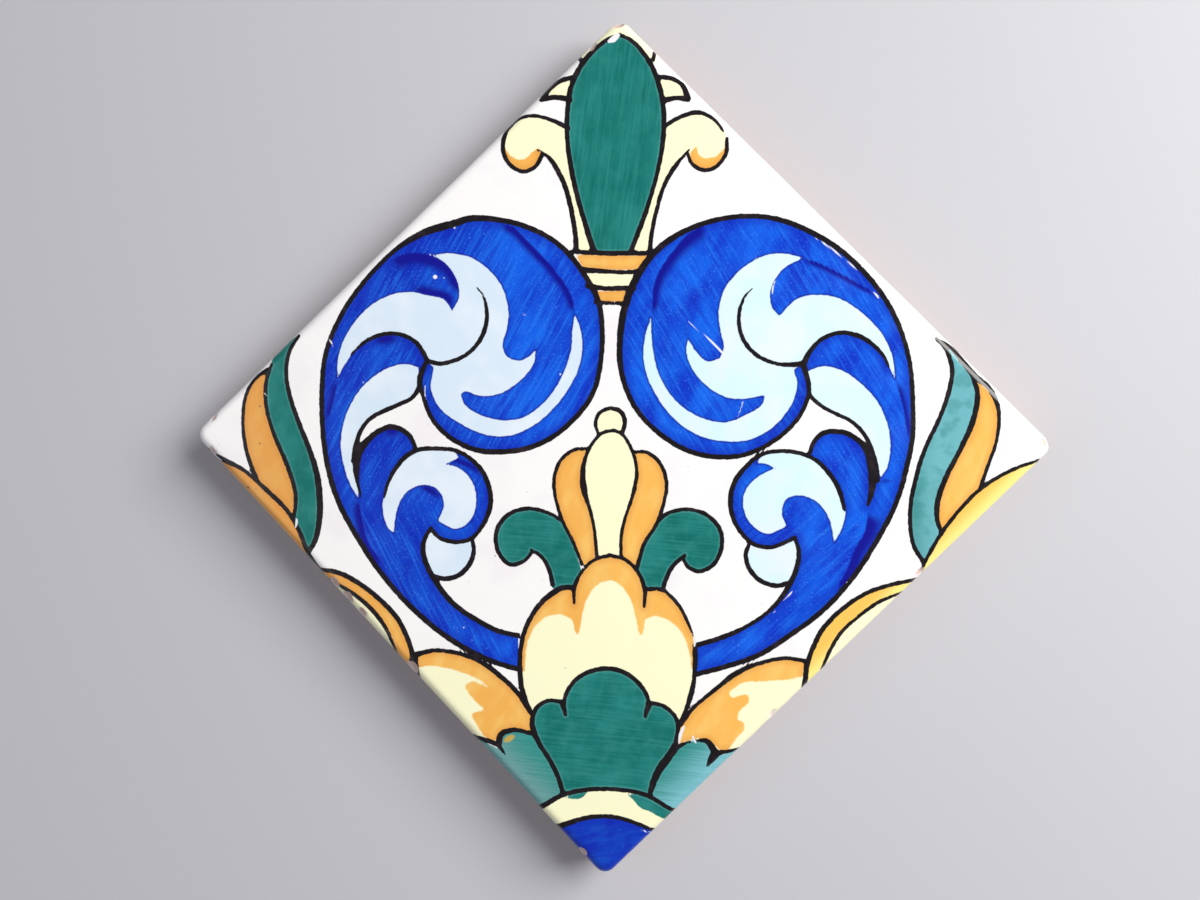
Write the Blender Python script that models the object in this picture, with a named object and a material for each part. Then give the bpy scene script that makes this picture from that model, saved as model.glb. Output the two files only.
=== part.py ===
"""Azulejo: a square wall tile of fired clay, glazed and painted on its face.

Units are metres and +Z is up. The tile lies on its back: the bedding face is at Z = 0, the
painted face looks up, and the sides run along X and Y. The painted pattern is upright along
the diagonal from the (-X, -Y) corner to the (+X, +Y) corner. The origin is the middle of the
bedding face.
"""

import math

import bmesh
import bpy
from mathutils import Matrix, Vector

# Body of the tile
SIDE = 0.140
THICKNESS = 0.013
SIDE_DRAFT = 0.0009  # how far each side leans in, from the face down to the back
CORNER_RADIUS = 0.0030  # plan rounding of the four corners
CORNER_SEGMENTS = 6
ARRIS_RADIUS = 0.0024  # the roll where the glaze goes over the edge of the face
ARRIS_SEGMENTS = 6
BACK_CHAMFER = 0.0007

# Keying grooves pressed into the back, which the mortar grips
GROOVE_COUNT = 6  # even, so that the middle of the back is land
GROOVE_PITCH = 0.020
GROOVE_WIDTH = 0.0070
GROOVE_DEPTH = 0.0010
GROOVE_MARGIN = 0.0130  # bare land left between a groove's end and the side

# Chips in the glazed arris. Each is a shallow scoop: the side of the tile it is on, its distance
# along that side from the middle as a share of half the side, its length and its bite.
CHIPS = (
    ("+Y", 0.985, 0.0048, 0.0016),
    ("+Y", 0.860, 0.0024, 0.0007),
    ("+Y", -0.910, 0.0022, 0.0006),
    ("-X", 0.910, 0.0026, 0.0006),
    ("-X", 0.300, 0.0030, 0.0009),
    ("-X", 0.235, 0.0034, 0.0011),
    ("-X", 0.165, 0.0030, 0.0008),
    ("-X", -0.080, 0.0036, 0.0009),
    ("-X", -0.890, 0.0024, 0.0007),
    ("+X", -0.975, 0.0044, 0.0010),
    ("+X", 0.060, 0.0024, 0.0005),
    ("-Y", -0.240, 0.0046, 0.0010),
    ("-Y", 0.410, 0.0030, 0.0008),
)
CHIP_SUBDIVISIONS = 3

OUTWARD = {
    "+X": Vector((1, 0, 0)),
    "-X": Vector((-1, 0, 0)),
    "+Y": Vector((0, 1, 0)),
    "-Y": Vector((0, -1, 0)),
}
CUT_CLEARANCE = 0.002  # how far a groove cutter reaches below the back


def clear_scene():
    for obj in list(bpy.data.objects):
        bpy.data.objects.remove(obj, do_unlink=True)


def new_collection(name):
    collection = bpy.data.collections.new(name)
    bpy.context.scene.collection.children.link(collection)
    return collection


def add_object(name, mesh, collection):
    data = bpy.data.meshes.new(name)
    mesh.to_mesh(data)
    mesh.free()
    obj = bpy.data.objects.new(name, data)
    collection.objects.link(obj)
    return obj


def add_cutter(name, mesh, collection):
    cutter = add_object(name, mesh, collection)
    cutter.hide_render = True
    cutter.display_type = "WIRE"
    return cutter


def glaze_material():
    material = bpy.data.materials.new("painted_glaze")
    material.use_nodes = True
    shader = material.node_tree.nodes["Principled BSDF"]
    shader.inputs["Base Color"].default_value = (0.86, 0.84, 0.80, 1)
    shader.inputs["Roughness"].default_value = 0.18
    shader.inputs["Metallic"].default_value = 0.0
    return material


def box(mesh, low, high):
    """Adds a box between two corners."""
    size = high - low
    place = Matrix.Translation((low + high) / 2) @ Matrix.Diagonal((*size, 1))
    bmesh.ops.create_cube(mesh, size=1.0, matrix=place)


def rim_edges(mesh, height):
    """The edges that run all round the flat end of the slab at this height."""
    flat = [f for f in mesh.faces if all(abs(v.co.z - height) < 1e-7 for v in f.verts)]
    return list({e for f in flat for e in f.edges})


def slab():
    """The pressed body: a square block with rounded corners, leaning sides and rolled arrises."""
    mesh = bmesh.new()
    half = SIDE / 2
    box(mesh, Vector((-half, -half, 0)), Vector((half, half, THICKNESS)))

    upright = [e for e in mesh.edges if abs(e.verts[0].co.z - e.verts[1].co.z) > THICKNESS / 2]
    bmesh.ops.bevel(
        mesh,
        geom=upright,
        offset=CORNER_RADIUS,
        segments=CORNER_SEGMENTS,
        profile=0.5,
        affect="EDGES",
    )
    for vert in mesh.verts:
        if vert.co.z < THICKNESS / 2:
            vert.co.x -= math.copysign(SIDE_DRAFT, vert.co.x)
            vert.co.y -= math.copysign(SIDE_DRAFT, vert.co.y)

    bmesh.ops.bevel(
        mesh,
        geom=rim_edges(mesh, THICKNESS),
        offset=ARRIS_RADIUS,
        segments=ARRIS_SEGMENTS,
        profile=0.5,
        affect="EDGES",
    )
    bmesh.ops.bevel(
        mesh,
        geom=rim_edges(mesh, 0.0),
        offset=BACK_CHAMFER,
        segments=1,
        profile=0.5,
        affect="EDGES",
    )
    return mesh


def groove_cutters(collection):
    """One bar for each keying groove, open at the back and closed at both ends."""
    half_length = SIDE / 2 - SIDE_DRAFT - GROOVE_MARGIN
    for index in range(GROOVE_COUNT):
        middle = (index - (GROOVE_COUNT - 1) / 2) * GROOVE_PITCH
        mesh = bmesh.new()
        box(
            mesh,
            Vector((middle - GROOVE_WIDTH / 2, -half_length, -CUT_CLEARANCE)),
            Vector((middle + GROOVE_WIDTH / 2, half_length, GROOVE_DEPTH)),
        )
        add_cutter(f"groove_cutter_{index + 1}", mesh, collection)


def arris_point(side, share):
    """The middle of the rolled arris, this share of the way along half of a side."""
    out = OUTWARD[side]
    along = Vector((abs(out.y), abs(out.x), 0))
    roll = ARRIS_RADIUS * (1 - math.sqrt(0.5))
    return (
        out * (SIDE / 2 - roll)
        + along * (share * SIDE / 2)
        + Vector((0, 0, THICKNESS - roll))
    )


def chip_cutters(collection):
    """Spheres set outside the arris, so that each takes a scoop of its own length and bite."""
    for index, (side, share, length, bite) in enumerate(CHIPS):
        radius = (length**2 / 4 + bite**2) / (2 * bite)
        outward = (OUTWARD[side] + Vector((0, 0, 1))).normalized()
        centre = arris_point(side, share) + outward * (radius - bite)
        mesh = bmesh.new()
        bmesh.ops.create_icosphere(
            mesh,
            subdivisions=CHIP_SUBDIVISIONS,
            radius=radius,
            matrix=Matrix.Translation(centre),
        )
        add_cutter(f"chip_cutter_{index + 1:02d}", mesh, collection)


def build():
    clear_scene()
    parts = new_collection("azulejo_tile")
    cutters = new_collection("cutters")
    tile = add_object("azulejo_tile", slab(), parts)
    tile.data.materials.append(glaze_material())
    groove_cutters(cutters)
    chip_cutters(cutters)
    cut = tile.modifiers.new("grooves_and_chips", "BOOLEAN")
    cut.operation = "DIFFERENCE"
    cut.operand_type = "COLLECTION"
    cut.collection = cutters
    tile.data.shade_smooth()
    tile.data.set_sharp_from_angle(angle=math.radians(30))


build()
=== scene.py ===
# %% [markdown]
# This scene dresses one wall tile of fired clay with its glaze and its painting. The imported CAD
# part gives the size and the place, and it isn't moved. Everything is in metres, and the tile
# lies on its back with the painted face up.

# %% Load the tile from the CAD part
import math

import bmesh
import bpy
import numpy as np
from mathutils import Matrix, Vector, noise


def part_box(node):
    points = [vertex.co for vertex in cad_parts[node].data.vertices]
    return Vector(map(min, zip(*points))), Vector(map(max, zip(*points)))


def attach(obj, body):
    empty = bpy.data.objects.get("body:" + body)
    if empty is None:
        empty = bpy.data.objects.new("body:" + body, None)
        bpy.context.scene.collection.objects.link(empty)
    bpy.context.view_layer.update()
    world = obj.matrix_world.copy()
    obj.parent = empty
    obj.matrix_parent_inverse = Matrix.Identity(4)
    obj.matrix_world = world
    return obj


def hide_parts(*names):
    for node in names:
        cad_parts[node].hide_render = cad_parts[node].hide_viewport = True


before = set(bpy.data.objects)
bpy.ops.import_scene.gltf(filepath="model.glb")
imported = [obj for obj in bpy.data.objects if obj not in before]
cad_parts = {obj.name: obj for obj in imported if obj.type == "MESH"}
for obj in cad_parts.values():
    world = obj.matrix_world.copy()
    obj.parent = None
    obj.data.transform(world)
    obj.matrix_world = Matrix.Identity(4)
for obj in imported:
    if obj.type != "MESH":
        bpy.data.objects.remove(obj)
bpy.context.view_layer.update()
back_corner, face_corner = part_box("azulejo_tile")
print("thickness in mm:", round((face_corner.z - back_corner.z) * 1000, 2))

# %% [markdown]
# A pressed tile isn't a sharp box. Its four corners are rounded, its glazed edge is a soft roll
# called the arris, and its sides lean in towards the back, so that it leaves the mould. These
# sizes say how it was pressed, and the height of the face is read from the CAD part.

# %% Sizes of the pressed body
MM = 0.001
HALF_SIDE = 70 * MM
FACE_HEIGHT = face_corner.z
CORNER_RADIUS = 3.0 * MM
ARRIS_RADIUS = 2.4 * MM
SIDE_DRAFT = 0.9 * MM
BACK_CHAMFER = 0.7 * MM
FACE_CELLS = 292  # squares along each side of the face, about half a millimetre each
print("face at", round(FACE_HEIGHT / MM, 2), "mm, cells of",
      round(2 * HALF_SIDE / FACE_CELLS / MM, 2), "mm")

# %% [markdown]
# The painter worked with the tile standing on one corner, so that the design is upright along a
# diagonal. It is easiest to draw it that way too: across is to the right and up is up, both in
# millimetres from the middle. One helper turns such a place into the tile's own X and Y, and
# the other finds the place of a point of the tile in the painting. The painting was laid out a
# touch smaller than the tile and sits a little low and to the left on it, so its places are
# stretched, twisted, shifted and leaned by a hair.

# %% Turn the painter's places into the tile's
TURN = math.sqrt(0.5)
STRETCH = (1.0083, 1.0031)  # across and up
TWIST = (-0.0012, 0.0017)  # how much of the one goes into the other
SHIFT = (0.305, 0.83)  # mm
LEAN = (0.000051, -0.000049)  # how much larger it gets, for each mm across and up


def on_tile(across, up, height=0.0):
    """A place in the painter's millimetres, height above the face, as a place on the tile."""
    return Vector(
        ((across + up) * TURN * MM, (up - across) * TURN * MM, FACE_HEIGHT + height * MM)
    )


def in_painting(x, y):
    """The tile's X and Y in metres as the painter's across and up in millimetres."""
    across, up = (x - y) * TURN / MM, (x + y) * TURN / MM
    lean = 1 + LEAN[0] * across + LEAN[1] * up
    return (
        (STRETCH[0] * across + TWIST[0] * up + SHIFT[0]) * lean,
        (TWIST[1] * across + STRETCH[1] * up + SHIFT[1]) * lean,
    )


print("top corner of the painting:", [round(v, 4) for v in on_tile(0, 98.99)])

# %% [markdown]
# The camera stands almost straight above the tile, a little to the right and towards the lower
# corner, as a person would who holds a phone over it. Its place and its two directions are
# worked out from the perspective of the four edges. A camera looks along its own -Z, so its
# three axes fill the matrix.

# %% Camera above the tile
CAMERA_PLACE = (18.7, -15.7, 272.6)  # across, up and above the face, in mm
CAMERA_LOOKS = Vector((-0.0782, 0.0485, -0.9958))
CAMERA_RIGHT = Vector((0.9968, 0.0186, -0.0774))


def turned(direction):
    """A direction in the painter's axes as one in the tile's."""
    return Vector(
        ((direction.x + direction.y) * TURN, (direction.y - direction.x) * TURN, direction.z)
    ).normalized()


looks = turned(CAMERA_LOOKS)
right = turned(CAMERA_RIGHT)
upward = right.cross(looks).normalized()
camera = bpy.data.objects.new("camera", bpy.data.cameras.new("camera"))
camera.data.lens = 36
camera.data.sensor_width = 36
camera.data.clip_start = 0.01
camera.matrix_world = Matrix.Translation(on_tile(*CAMERA_PLACE)) @ Matrix(
    (right, upward, -looks)
).transposed().to_4x4()
bpy.context.scene.collection.objects.link(camera)
bpy.context.scene.camera = camera
print("camera at", [round(v, 3) for v in camera.matrix_world.translation])

# %% [markdown]
# The face starts as a flat grid. The grid is a little wider than the tile, because its rim will
# bend down over the arris. In a corner the square of grid is first pulled into a quarter disc,
# so that the mesh runs round the corner without a fold. The flat places are kept in two layers,
# which later lay out the UV map.

# %% A fine grid for the face
blank = bmesh.new()
ROLL_LENGTH = ARRIS_RADIUS * math.pi / 2
FLAT_HALF = HALF_SIDE - CORNER_RADIUS
SPREAD_HALF = HALF_SIDE - ARRIS_RADIUS + ROLL_LENGTH
bmesh.ops.create_grid(
    blank, x_segments=FACE_CELLS, y_segments=FACE_CELLS, size=SPREAD_HALF
)
spread_x = blank.verts.layers.float.new("spread_x")
spread_y = blank.verts.layers.float.new("spread_y")
for vert in blank.verts:
    vert[spread_x] = vert.co.x
    vert[spread_y] = vert.co.y
print("grid:", len(blank.verts), "points,", len(blank.faces), "faces")

# %% [markdown]
# Every point of the flat grid is then moved to where the arris would take it. Inside the rim it
# stays flat. Past the rim it goes round a quarter circle, and keeps its distance along the
# curve, so that the cells aren't stretched.

# %% Bend the rim of the grid over the arris
def leaned(place):
    """Moves a place in by the draft of the sides at its height."""
    share = 1 - SIDE_DRAFT / HALF_SIDE * (1 - place.z / FACE_HEIGHT)
    return Vector((place.x * share, place.y * share, place.z))


def rolled(flat):
    """Where a place of the flat grid goes when the rim bends down."""
    core = Vector(
        (
            max(-FLAT_HALF, min(FLAT_HALF, flat.x)),
            max(-FLAT_HALF, min(FLAT_HALF, flat.y)),
            0,
        )
    )
    out = Vector((flat.x, flat.y, 0)) - core
    if out.length < 1e-9:
        return Vector((flat.x, flat.y, FACE_HEIGHT))
    reach = max(abs(out.x), abs(out.y))
    flat_part = CORNER_RADIUS - ARRIS_RADIUS
    bend = max(0.0, reach - flat_part) / ARRIS_RADIUS
    sideways = min(reach, flat_part) + ARRIS_RADIUS * math.sin(bend)
    place = core + out.normalized() * sideways
    place.z = FACE_HEIGHT - ARRIS_RADIUS * (1 - math.cos(bend))
    return leaned(place)


for vert in blank.verts:
    vert.co = rolled(vert.co)
lowest = min(vert.co.z for vert in blank.verts)
print("the roll ends", round((FACE_HEIGHT - lowest) / MM, 2), "mm below the face")

# %% [markdown]
# The sides are pulled down from the rim, one row at a time, and the last row turns in as the
# small chamfer of the back. Extruding the open edge keeps the kept layers, so each new point
# still knows its place along the rim.

# %% Pull the sides down to the back
SIDE_ROWS = (9.4, 8.1, 6.7, 5.3, 3.9, 2.4, 0.7, 0.0)  # heights above the back, in mm


def tucked_in(value):
    """One coordinate of the last row, moved in by the chamfer of the back."""
    step = math.copysign(min(BACK_CHAMFER, abs(value)), value)
    return value - step * (abs(value) / HALF_SIDE)


for row in SIDE_ROWS:
    rim = [edge for edge in blank.edges if edge.is_boundary]
    pulled = bmesh.ops.extrude_edge_only(blank, edges=rim)["geom"]
    for vert in (item for item in pulled if isinstance(item, bmesh.types.BMVert)):
        straight = 1 - SIDE_DRAFT / HALF_SIDE * (1 - vert.co.z / FACE_HEIGHT)
        vert.co.x /= straight
        vert.co.y /= straight
        vert.co.z = row * MM
        vert.co = leaned(vert.co)
        if row == SIDE_ROWS[-1]:
            vert.co.x = tucked_in(vert.co.x)
            vert.co.y = tucked_in(vert.co.y)
print("with its sides:", len(blank.faces), "faces")

# %% [markdown]
# The back is hidden when the tile is on the wall, but a person who picks it up sees keying
# grooves, which hold the mortar. The back is one big face, cut by planes where the grooves
# start and end, and the faces between the planes are pushed in.

# %% Close the back and press its grooves
GROOVE_COUNT = 6
GROOVE_PITCH = 20.0 * MM
GROOVE_WIDTH = 7.0 * MM
GROOVE_DEPTH = 1.0 * MM
GROOVE_MARGIN = 13.0 * MM
groove_half_length = HALF_SIDE - SIDE_DRAFT - GROOVE_MARGIN
groove_middles = [
    (index - (GROOVE_COUNT - 1) / 2) * GROOVE_PITCH for index in range(GROOVE_COUNT)
]


def back_faces():
    """The faces of the bedding side."""
    return [face for face in blank.faces if not face[front]]


def cut_back(point, normal):
    """Cuts the faces of the back along one upright plane."""
    faces = back_faces()
    edges = list(dict.fromkeys(edge for face in faces for edge in face.edges))
    verts = list(dict.fromkeys(vert for face in faces for vert in face.verts))
    bmesh.ops.bisect_plane(
        blank, geom=verts + edges + faces, dist=1e-7, plane_co=point, plane_no=normal
    )


front = blank.faces.layers.int.new("front")
for face in blank.faces:
    face[front] = 1
rim = [edge for edge in blank.edges if edge.is_boundary]
for face in bmesh.ops.edgeloop_fill(blank, edges=rim)["faces"]:
    face[front] = 0
blank.normal_update()
for middle in groove_middles:
    cut_back((middle - GROOVE_WIDTH / 2, 0, 0), (1, 0, 0))
    cut_back((middle + GROOVE_WIDTH / 2, 0, 0), (1, 0, 0))
cut_back((0, groove_half_length, 0), (0, 1, 0))
cut_back((0, -groove_half_length, 0), (0, 1, 0))
blank.normal_update()


def in_a_groove(face):
    """Whether a face of the back lies between the two sides of a groove."""
    centre = face.calc_center_median()
    beside = min(abs(centre.x - middle) for middle in groove_middles)
    return beside < GROOVE_WIDTH / 2 and abs(centre.y) < groove_half_length


floors = [face for face in back_faces() if in_a_groove(face)]
pushed = bmesh.ops.extrude_face_region(blank, geom=floors)["geom"]
bmesh.ops.translate(
    blank,
    verts=[item for item in pushed if isinstance(item, bmesh.types.BMVert)],
    vec=(0, 0, GROOVE_DEPTH),
)
bmesh.ops.delete(blank, geom=[face for face in floors if face.is_valid], context="FACES")
bmesh.ops.recalc_face_normals(blank, faces=blank.faces)
open_edges = sum(1 for edge in blank.edges if not edge.is_manifold)
print("back closed, with", len(floors), "grooves and", open_edges, "open edges")

# %% [markdown]
# The exported model gets one flat picture of its colours, so the tile needs a UV map. The face
# is the part that people look at, so it takes most of the map. The sides fold out round it, and
# the plain back is squeezed into the strip that is left.

# %% Lay out the UV map
FACE_SHARE = 0.86
SKIRT_SHARE = 0.028
MAP_MARGIN = 0.01
BACK_MIDDLE = (0.96, 0.5)
BACK_HALF = (0.03, 0.47)
WALL_SPREAD = 2  # how far the walls of the grooves spread, for each metre of depth
uv_map = blank.loops.layers.uv.new("OFBake")
face_middle = MAP_MARGIN + FACE_SHARE / 2 + SKIRT_SHARE
for face in blank.faces:
    for loop in face.loops:
        place = loop.vert.co
        if face[front]:
            drop = max(0.0, lowest - place.z) / lowest
            grow = FACE_SHARE / 2 + SKIRT_SHARE * drop
            loop[uv_map].uv = (
                face_middle + loop.vert[spread_x] / SPREAD_HALF * grow,
                face_middle + loop.vert[spread_y] / SPREAD_HALF * grow,
            )
        else:
            loop[uv_map].uv = (
                BACK_MIDDLE[0] + BACK_HALF[0] * place.x / HALF_SIDE + WALL_SPREAD * place.z,
                BACK_MIDDLE[1] + BACK_HALF[1] * place.y / HALF_SIDE,
            )
print("the face takes", FACE_SHARE, "of each side of the map")

# %% [markdown]
# A wall tile that has been taken down has knocks along its arris, where the glaze and a little
# clay broke away. Each knock is a scoop, the shape that a sphere set outside the edge would
# cut. The points inside the sphere are pushed onto it, and noise makes the broken rim uneven.

# %% Knock chips out of the arris
# side, share of the way along half of it, length and bite in mm
CHIPS = (
    ("+Y", 0.985, 4.8, 1.6),
    ("+Y", 0.860, 2.4, 0.7),
    ("+Y", -0.910, 2.2, 0.6),
    ("-X", 0.910, 2.6, 0.6),
    ("-X", 0.300, 3.0, 0.9),
    ("-X", 0.235, 3.4, 1.1),
    ("-X", 0.165, 3.0, 0.8),
    ("-X", -0.080, 3.6, 0.9),
    ("-X", -0.890, 2.4, 0.7),
    ("+X", -0.975, 4.4, 1.0),
    ("+X", 0.060, 2.4, 0.5),
    ("-Y", -0.240, 3.0, 0.3),
    ("-Y", 0.410, 2.8, 0.6),
)
OUTWARD = {"+X": (1, 0), "-X": (-1, 0), "+Y": (0, 1), "-Y": (0, -1)}
CHIP_BORDER = 1.2 * MM  # how far round a chip the distance to it is kept
CHIP_UNEVEN = 0.22 * MM
CHIP_LUMPS = 0.9 * MM
broken = blank.verts.layers.float.new("clay")


def rough(place, size, seed=0.0):
    """Smooth noise from -1 to 1, with lumps of this size in metres."""
    return noise.noise(place / size + Vector((seed, seed * 1.7, seed * 0.6)))


def chip_ball(side, share, length, bite):
    """The centre and the radius of the sphere that cuts a chip."""
    out = Vector((*OUTWARD[side], 0))
    along = Vector((abs(out.y), abs(out.x), 0))
    roll = ARRIS_RADIUS * (1 - TURN)
    middle = out * (HALF_SIDE - roll) + along * (share * HALF_SIDE)
    middle.z = FACE_HEIGHT - roll
    radius = (length**2 / 4 + bite**2) / (2 * bite) * MM
    return middle + (out + Vector((0, 0, 1))).normalized() * (radius - bite * MM), radius


for vert in blank.verts:
    vert[broken] = -1.0
moved = 0
for number, chip in enumerate(CHIPS):
    centre, radius = chip_ball(*chip)
    for vert in blank.verts:
        gap = (vert.co - centre).length
        if gap > radius + CHIP_BORDER:
            continue
        depth = radius - gap + CHIP_UNEVEN * rough(vert.co, CHIP_LUMPS, number)
        vert[broken] = max(vert[broken], depth / MM)
        if depth > 0:
            vert.co = centre + (vert.co - centre).normalized() * (gap + depth)
            moved += 1
print(len(CHIPS), "chips moved", moved, "points")

# %% [markdown]
# Glaze is glass that ran and set, so the face isn't quite flat. It swells and sinks by a few
# hundredths of a millimetre, and only downwards here, so that the tile stays inside its size.
# The shine shows this even where the colour is plain.

# %% Let the glaze run a little
SWELL = 0.035 * MM
for vert in blank.verts:
    if vert.co.z > FACE_HEIGHT - ARRIS_RADIUS:
        wide = rough(vert.co, 14 * MM, 3.0) + 0.5 * rough(vert.co, 5 * MM, 5.0)
        vert.co.z -= SWELL * (1.5 + wide)
print("glaze swells by up to", round(3 * SWELL / MM, 3), "mm")

# %% [markdown]
# Now the painting. The painter drew every outline with a thin brush, and the line swells and
# thins as the hand presses. It could be modelled as a raised cord, but it is only colour under
# the glaze. So each stroke is kept as a few places that the brush went through, with its widths
# spread along it, and the mesh stores how far each point lies from the nearest stroke. Shading
# by distance stays crisp at any size.

# %% A smooth brush line through a few places
def brush_line(places, closed=False, step=0.6):
    """A smooth line through the places. A place with a third value is a sharp corner."""
    spots = [np.array(place[:2], float) for place in places]
    sharp = [len(place) > 2 for place in places]
    count = len(spots)
    line = []
    for index in range(count if closed else count - 1):
        here = spots[index]
        there = spots[(index + 1) % count]
        before = 2 * here - there
        if (closed or index > 0) and not sharp[index]:
            before = spots[index - 1]
        after = 2 * there - here
        if (closed or index + 2 < count) and not sharp[(index + 1) % count]:
            after = spots[(index + 2) % count]
        gaps = [
            max(np.linalg.norm(b - a) ** 0.5, 1e-6)
            for a, b in ((before, here), (here, there), (there, after))
        ]
        leave = gaps[1] * (
            (here - before) / gaps[0]
            - (there - before) / (gaps[0] + gaps[1])
            + (there - here) / gaps[1]
        )
        arrive = gaps[1] * (
            (there - here) / gaps[1]
            - (after - here) / (gaps[1] + gaps[2])
            + (after - there) / gaps[2]
        )
        parts = max(2, int(np.linalg.norm(there - here) / step))
        for t in np.arange(parts) / parts:
            line.append(
                (2 * t**3 - 3 * t**2 + 1) * here
                + (t**3 - 2 * t**2 + t) * leave
                + (3 * t**2 - 2 * t**3) * there
                + (t**3 - t**2) * arrive
            )
    if not closed:
        line.append(spots[-1])
    return np.array(line)


print("a line through three places has", len(brush_line(((0, 0), (4, 3), (9, 3)))), "points")

# %% [markdown]
# A line is a row of short straight pieces. Its distance is taken to each of them, less half of
# the brush's width there, and the smallest one counts. Inside a closed area the distance is
# negative. Only the points near a line are measured, which keeps it quick.

# %% Distances on the tile
blank.verts.ensure_lookup_table()
POINTS = np.array([in_painting(vert.co.x, vert.co.y) for vert in blank.verts])
FAR = 4.0  # distances past this many millimetres all count the same


def near(line, reach):
    """Which points of the mesh lie within reach of the line's box."""
    low_end = line.min(axis=0) - reach
    high_end = line.max(axis=0) + reach
    return np.nonzero(((POINTS > low_end) & (POINTS < high_end)).all(axis=1))[0]


def from_line(places, line, half_widths):
    """Distances from a line with a width of its own at each point, below zero inside it."""
    best = np.full(len(places), FAR)
    for a, b, wa, wb in zip(line, line[1:], half_widths, half_widths[1:]):
        along = b - a
        share = ((places - a) @ along / max(along @ along, 1e-9)).clip(0, 1)
        gap = np.hypot(*(places - a - share[:, None] * along).T)
        np.minimum(best, gap - (wa + (wb - wa) * share), out=best)
    return best


def spread_widths(widths, line):
    """The brush's widths, spread evenly along a line, as half widths."""
    return np.interp(np.linspace(0, 1, len(line)), np.linspace(0, 1, len(widths)), widths) / 2


def is_inside(places, loop):
    """Which places lie inside a closed loop."""
    inside = np.zeros(len(places), bool)
    for a, b in zip(loop, np.roll(loop, -1, axis=0)):
        crosses = (a[1] > places[:, 1]) != (b[1] > places[:, 1])
        at = a[0] + (places[:, 1] - a[1]) * (b[0] - a[0]) / (b[1] - a[1] + 1e-12)
        inside ^= crosses & (places[:, 0] < at)
    return inside


def from_strokes(strokes):
    """The distance to the nearest of these strokes, for every point of the mesh."""
    best = np.full(len(POINTS), FAR)
    for _, widths, places in strokes:
        line = brush_line(places)
        rows = near(line, FAR)
        gap = from_line(POINTS[rows], line, spread_widths(widths, line))
        best[rows] = np.minimum(best[rows], gap)
    return best


def from_loop(loop):
    """The distance to the edge of one closed area, below zero inside it."""
    best = np.full(len(POINTS), FAR)
    rows = near(loop, FAR)
    around = np.vstack([loop, loop[:1]])
    gap = from_line(POINTS[rows], around, np.zeros(len(around)))
    best[rows] = np.where(is_inside(POINTS[rows], loop), -gap, gap)
    return best


def from_areas(areas):
    """The distance to the nearest of these painted areas, below zero inside one."""
    best = np.full(len(POINTS), FAR)
    for _, places in areas:
        np.minimum(best, from_loop(brush_line(places, closed=True)), out=best)
    return best


print(len(POINTS), "points to paint")

# %% [markdown]
# The left volute is one long stroke from its knot, over the top and down to the foot of its
# stem. Shorter strokes draw the curl inside, the lobes of its leaves and the drop. Each entry
# gives a name, the widths of the brush in millimetres and the places that it passed.

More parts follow.
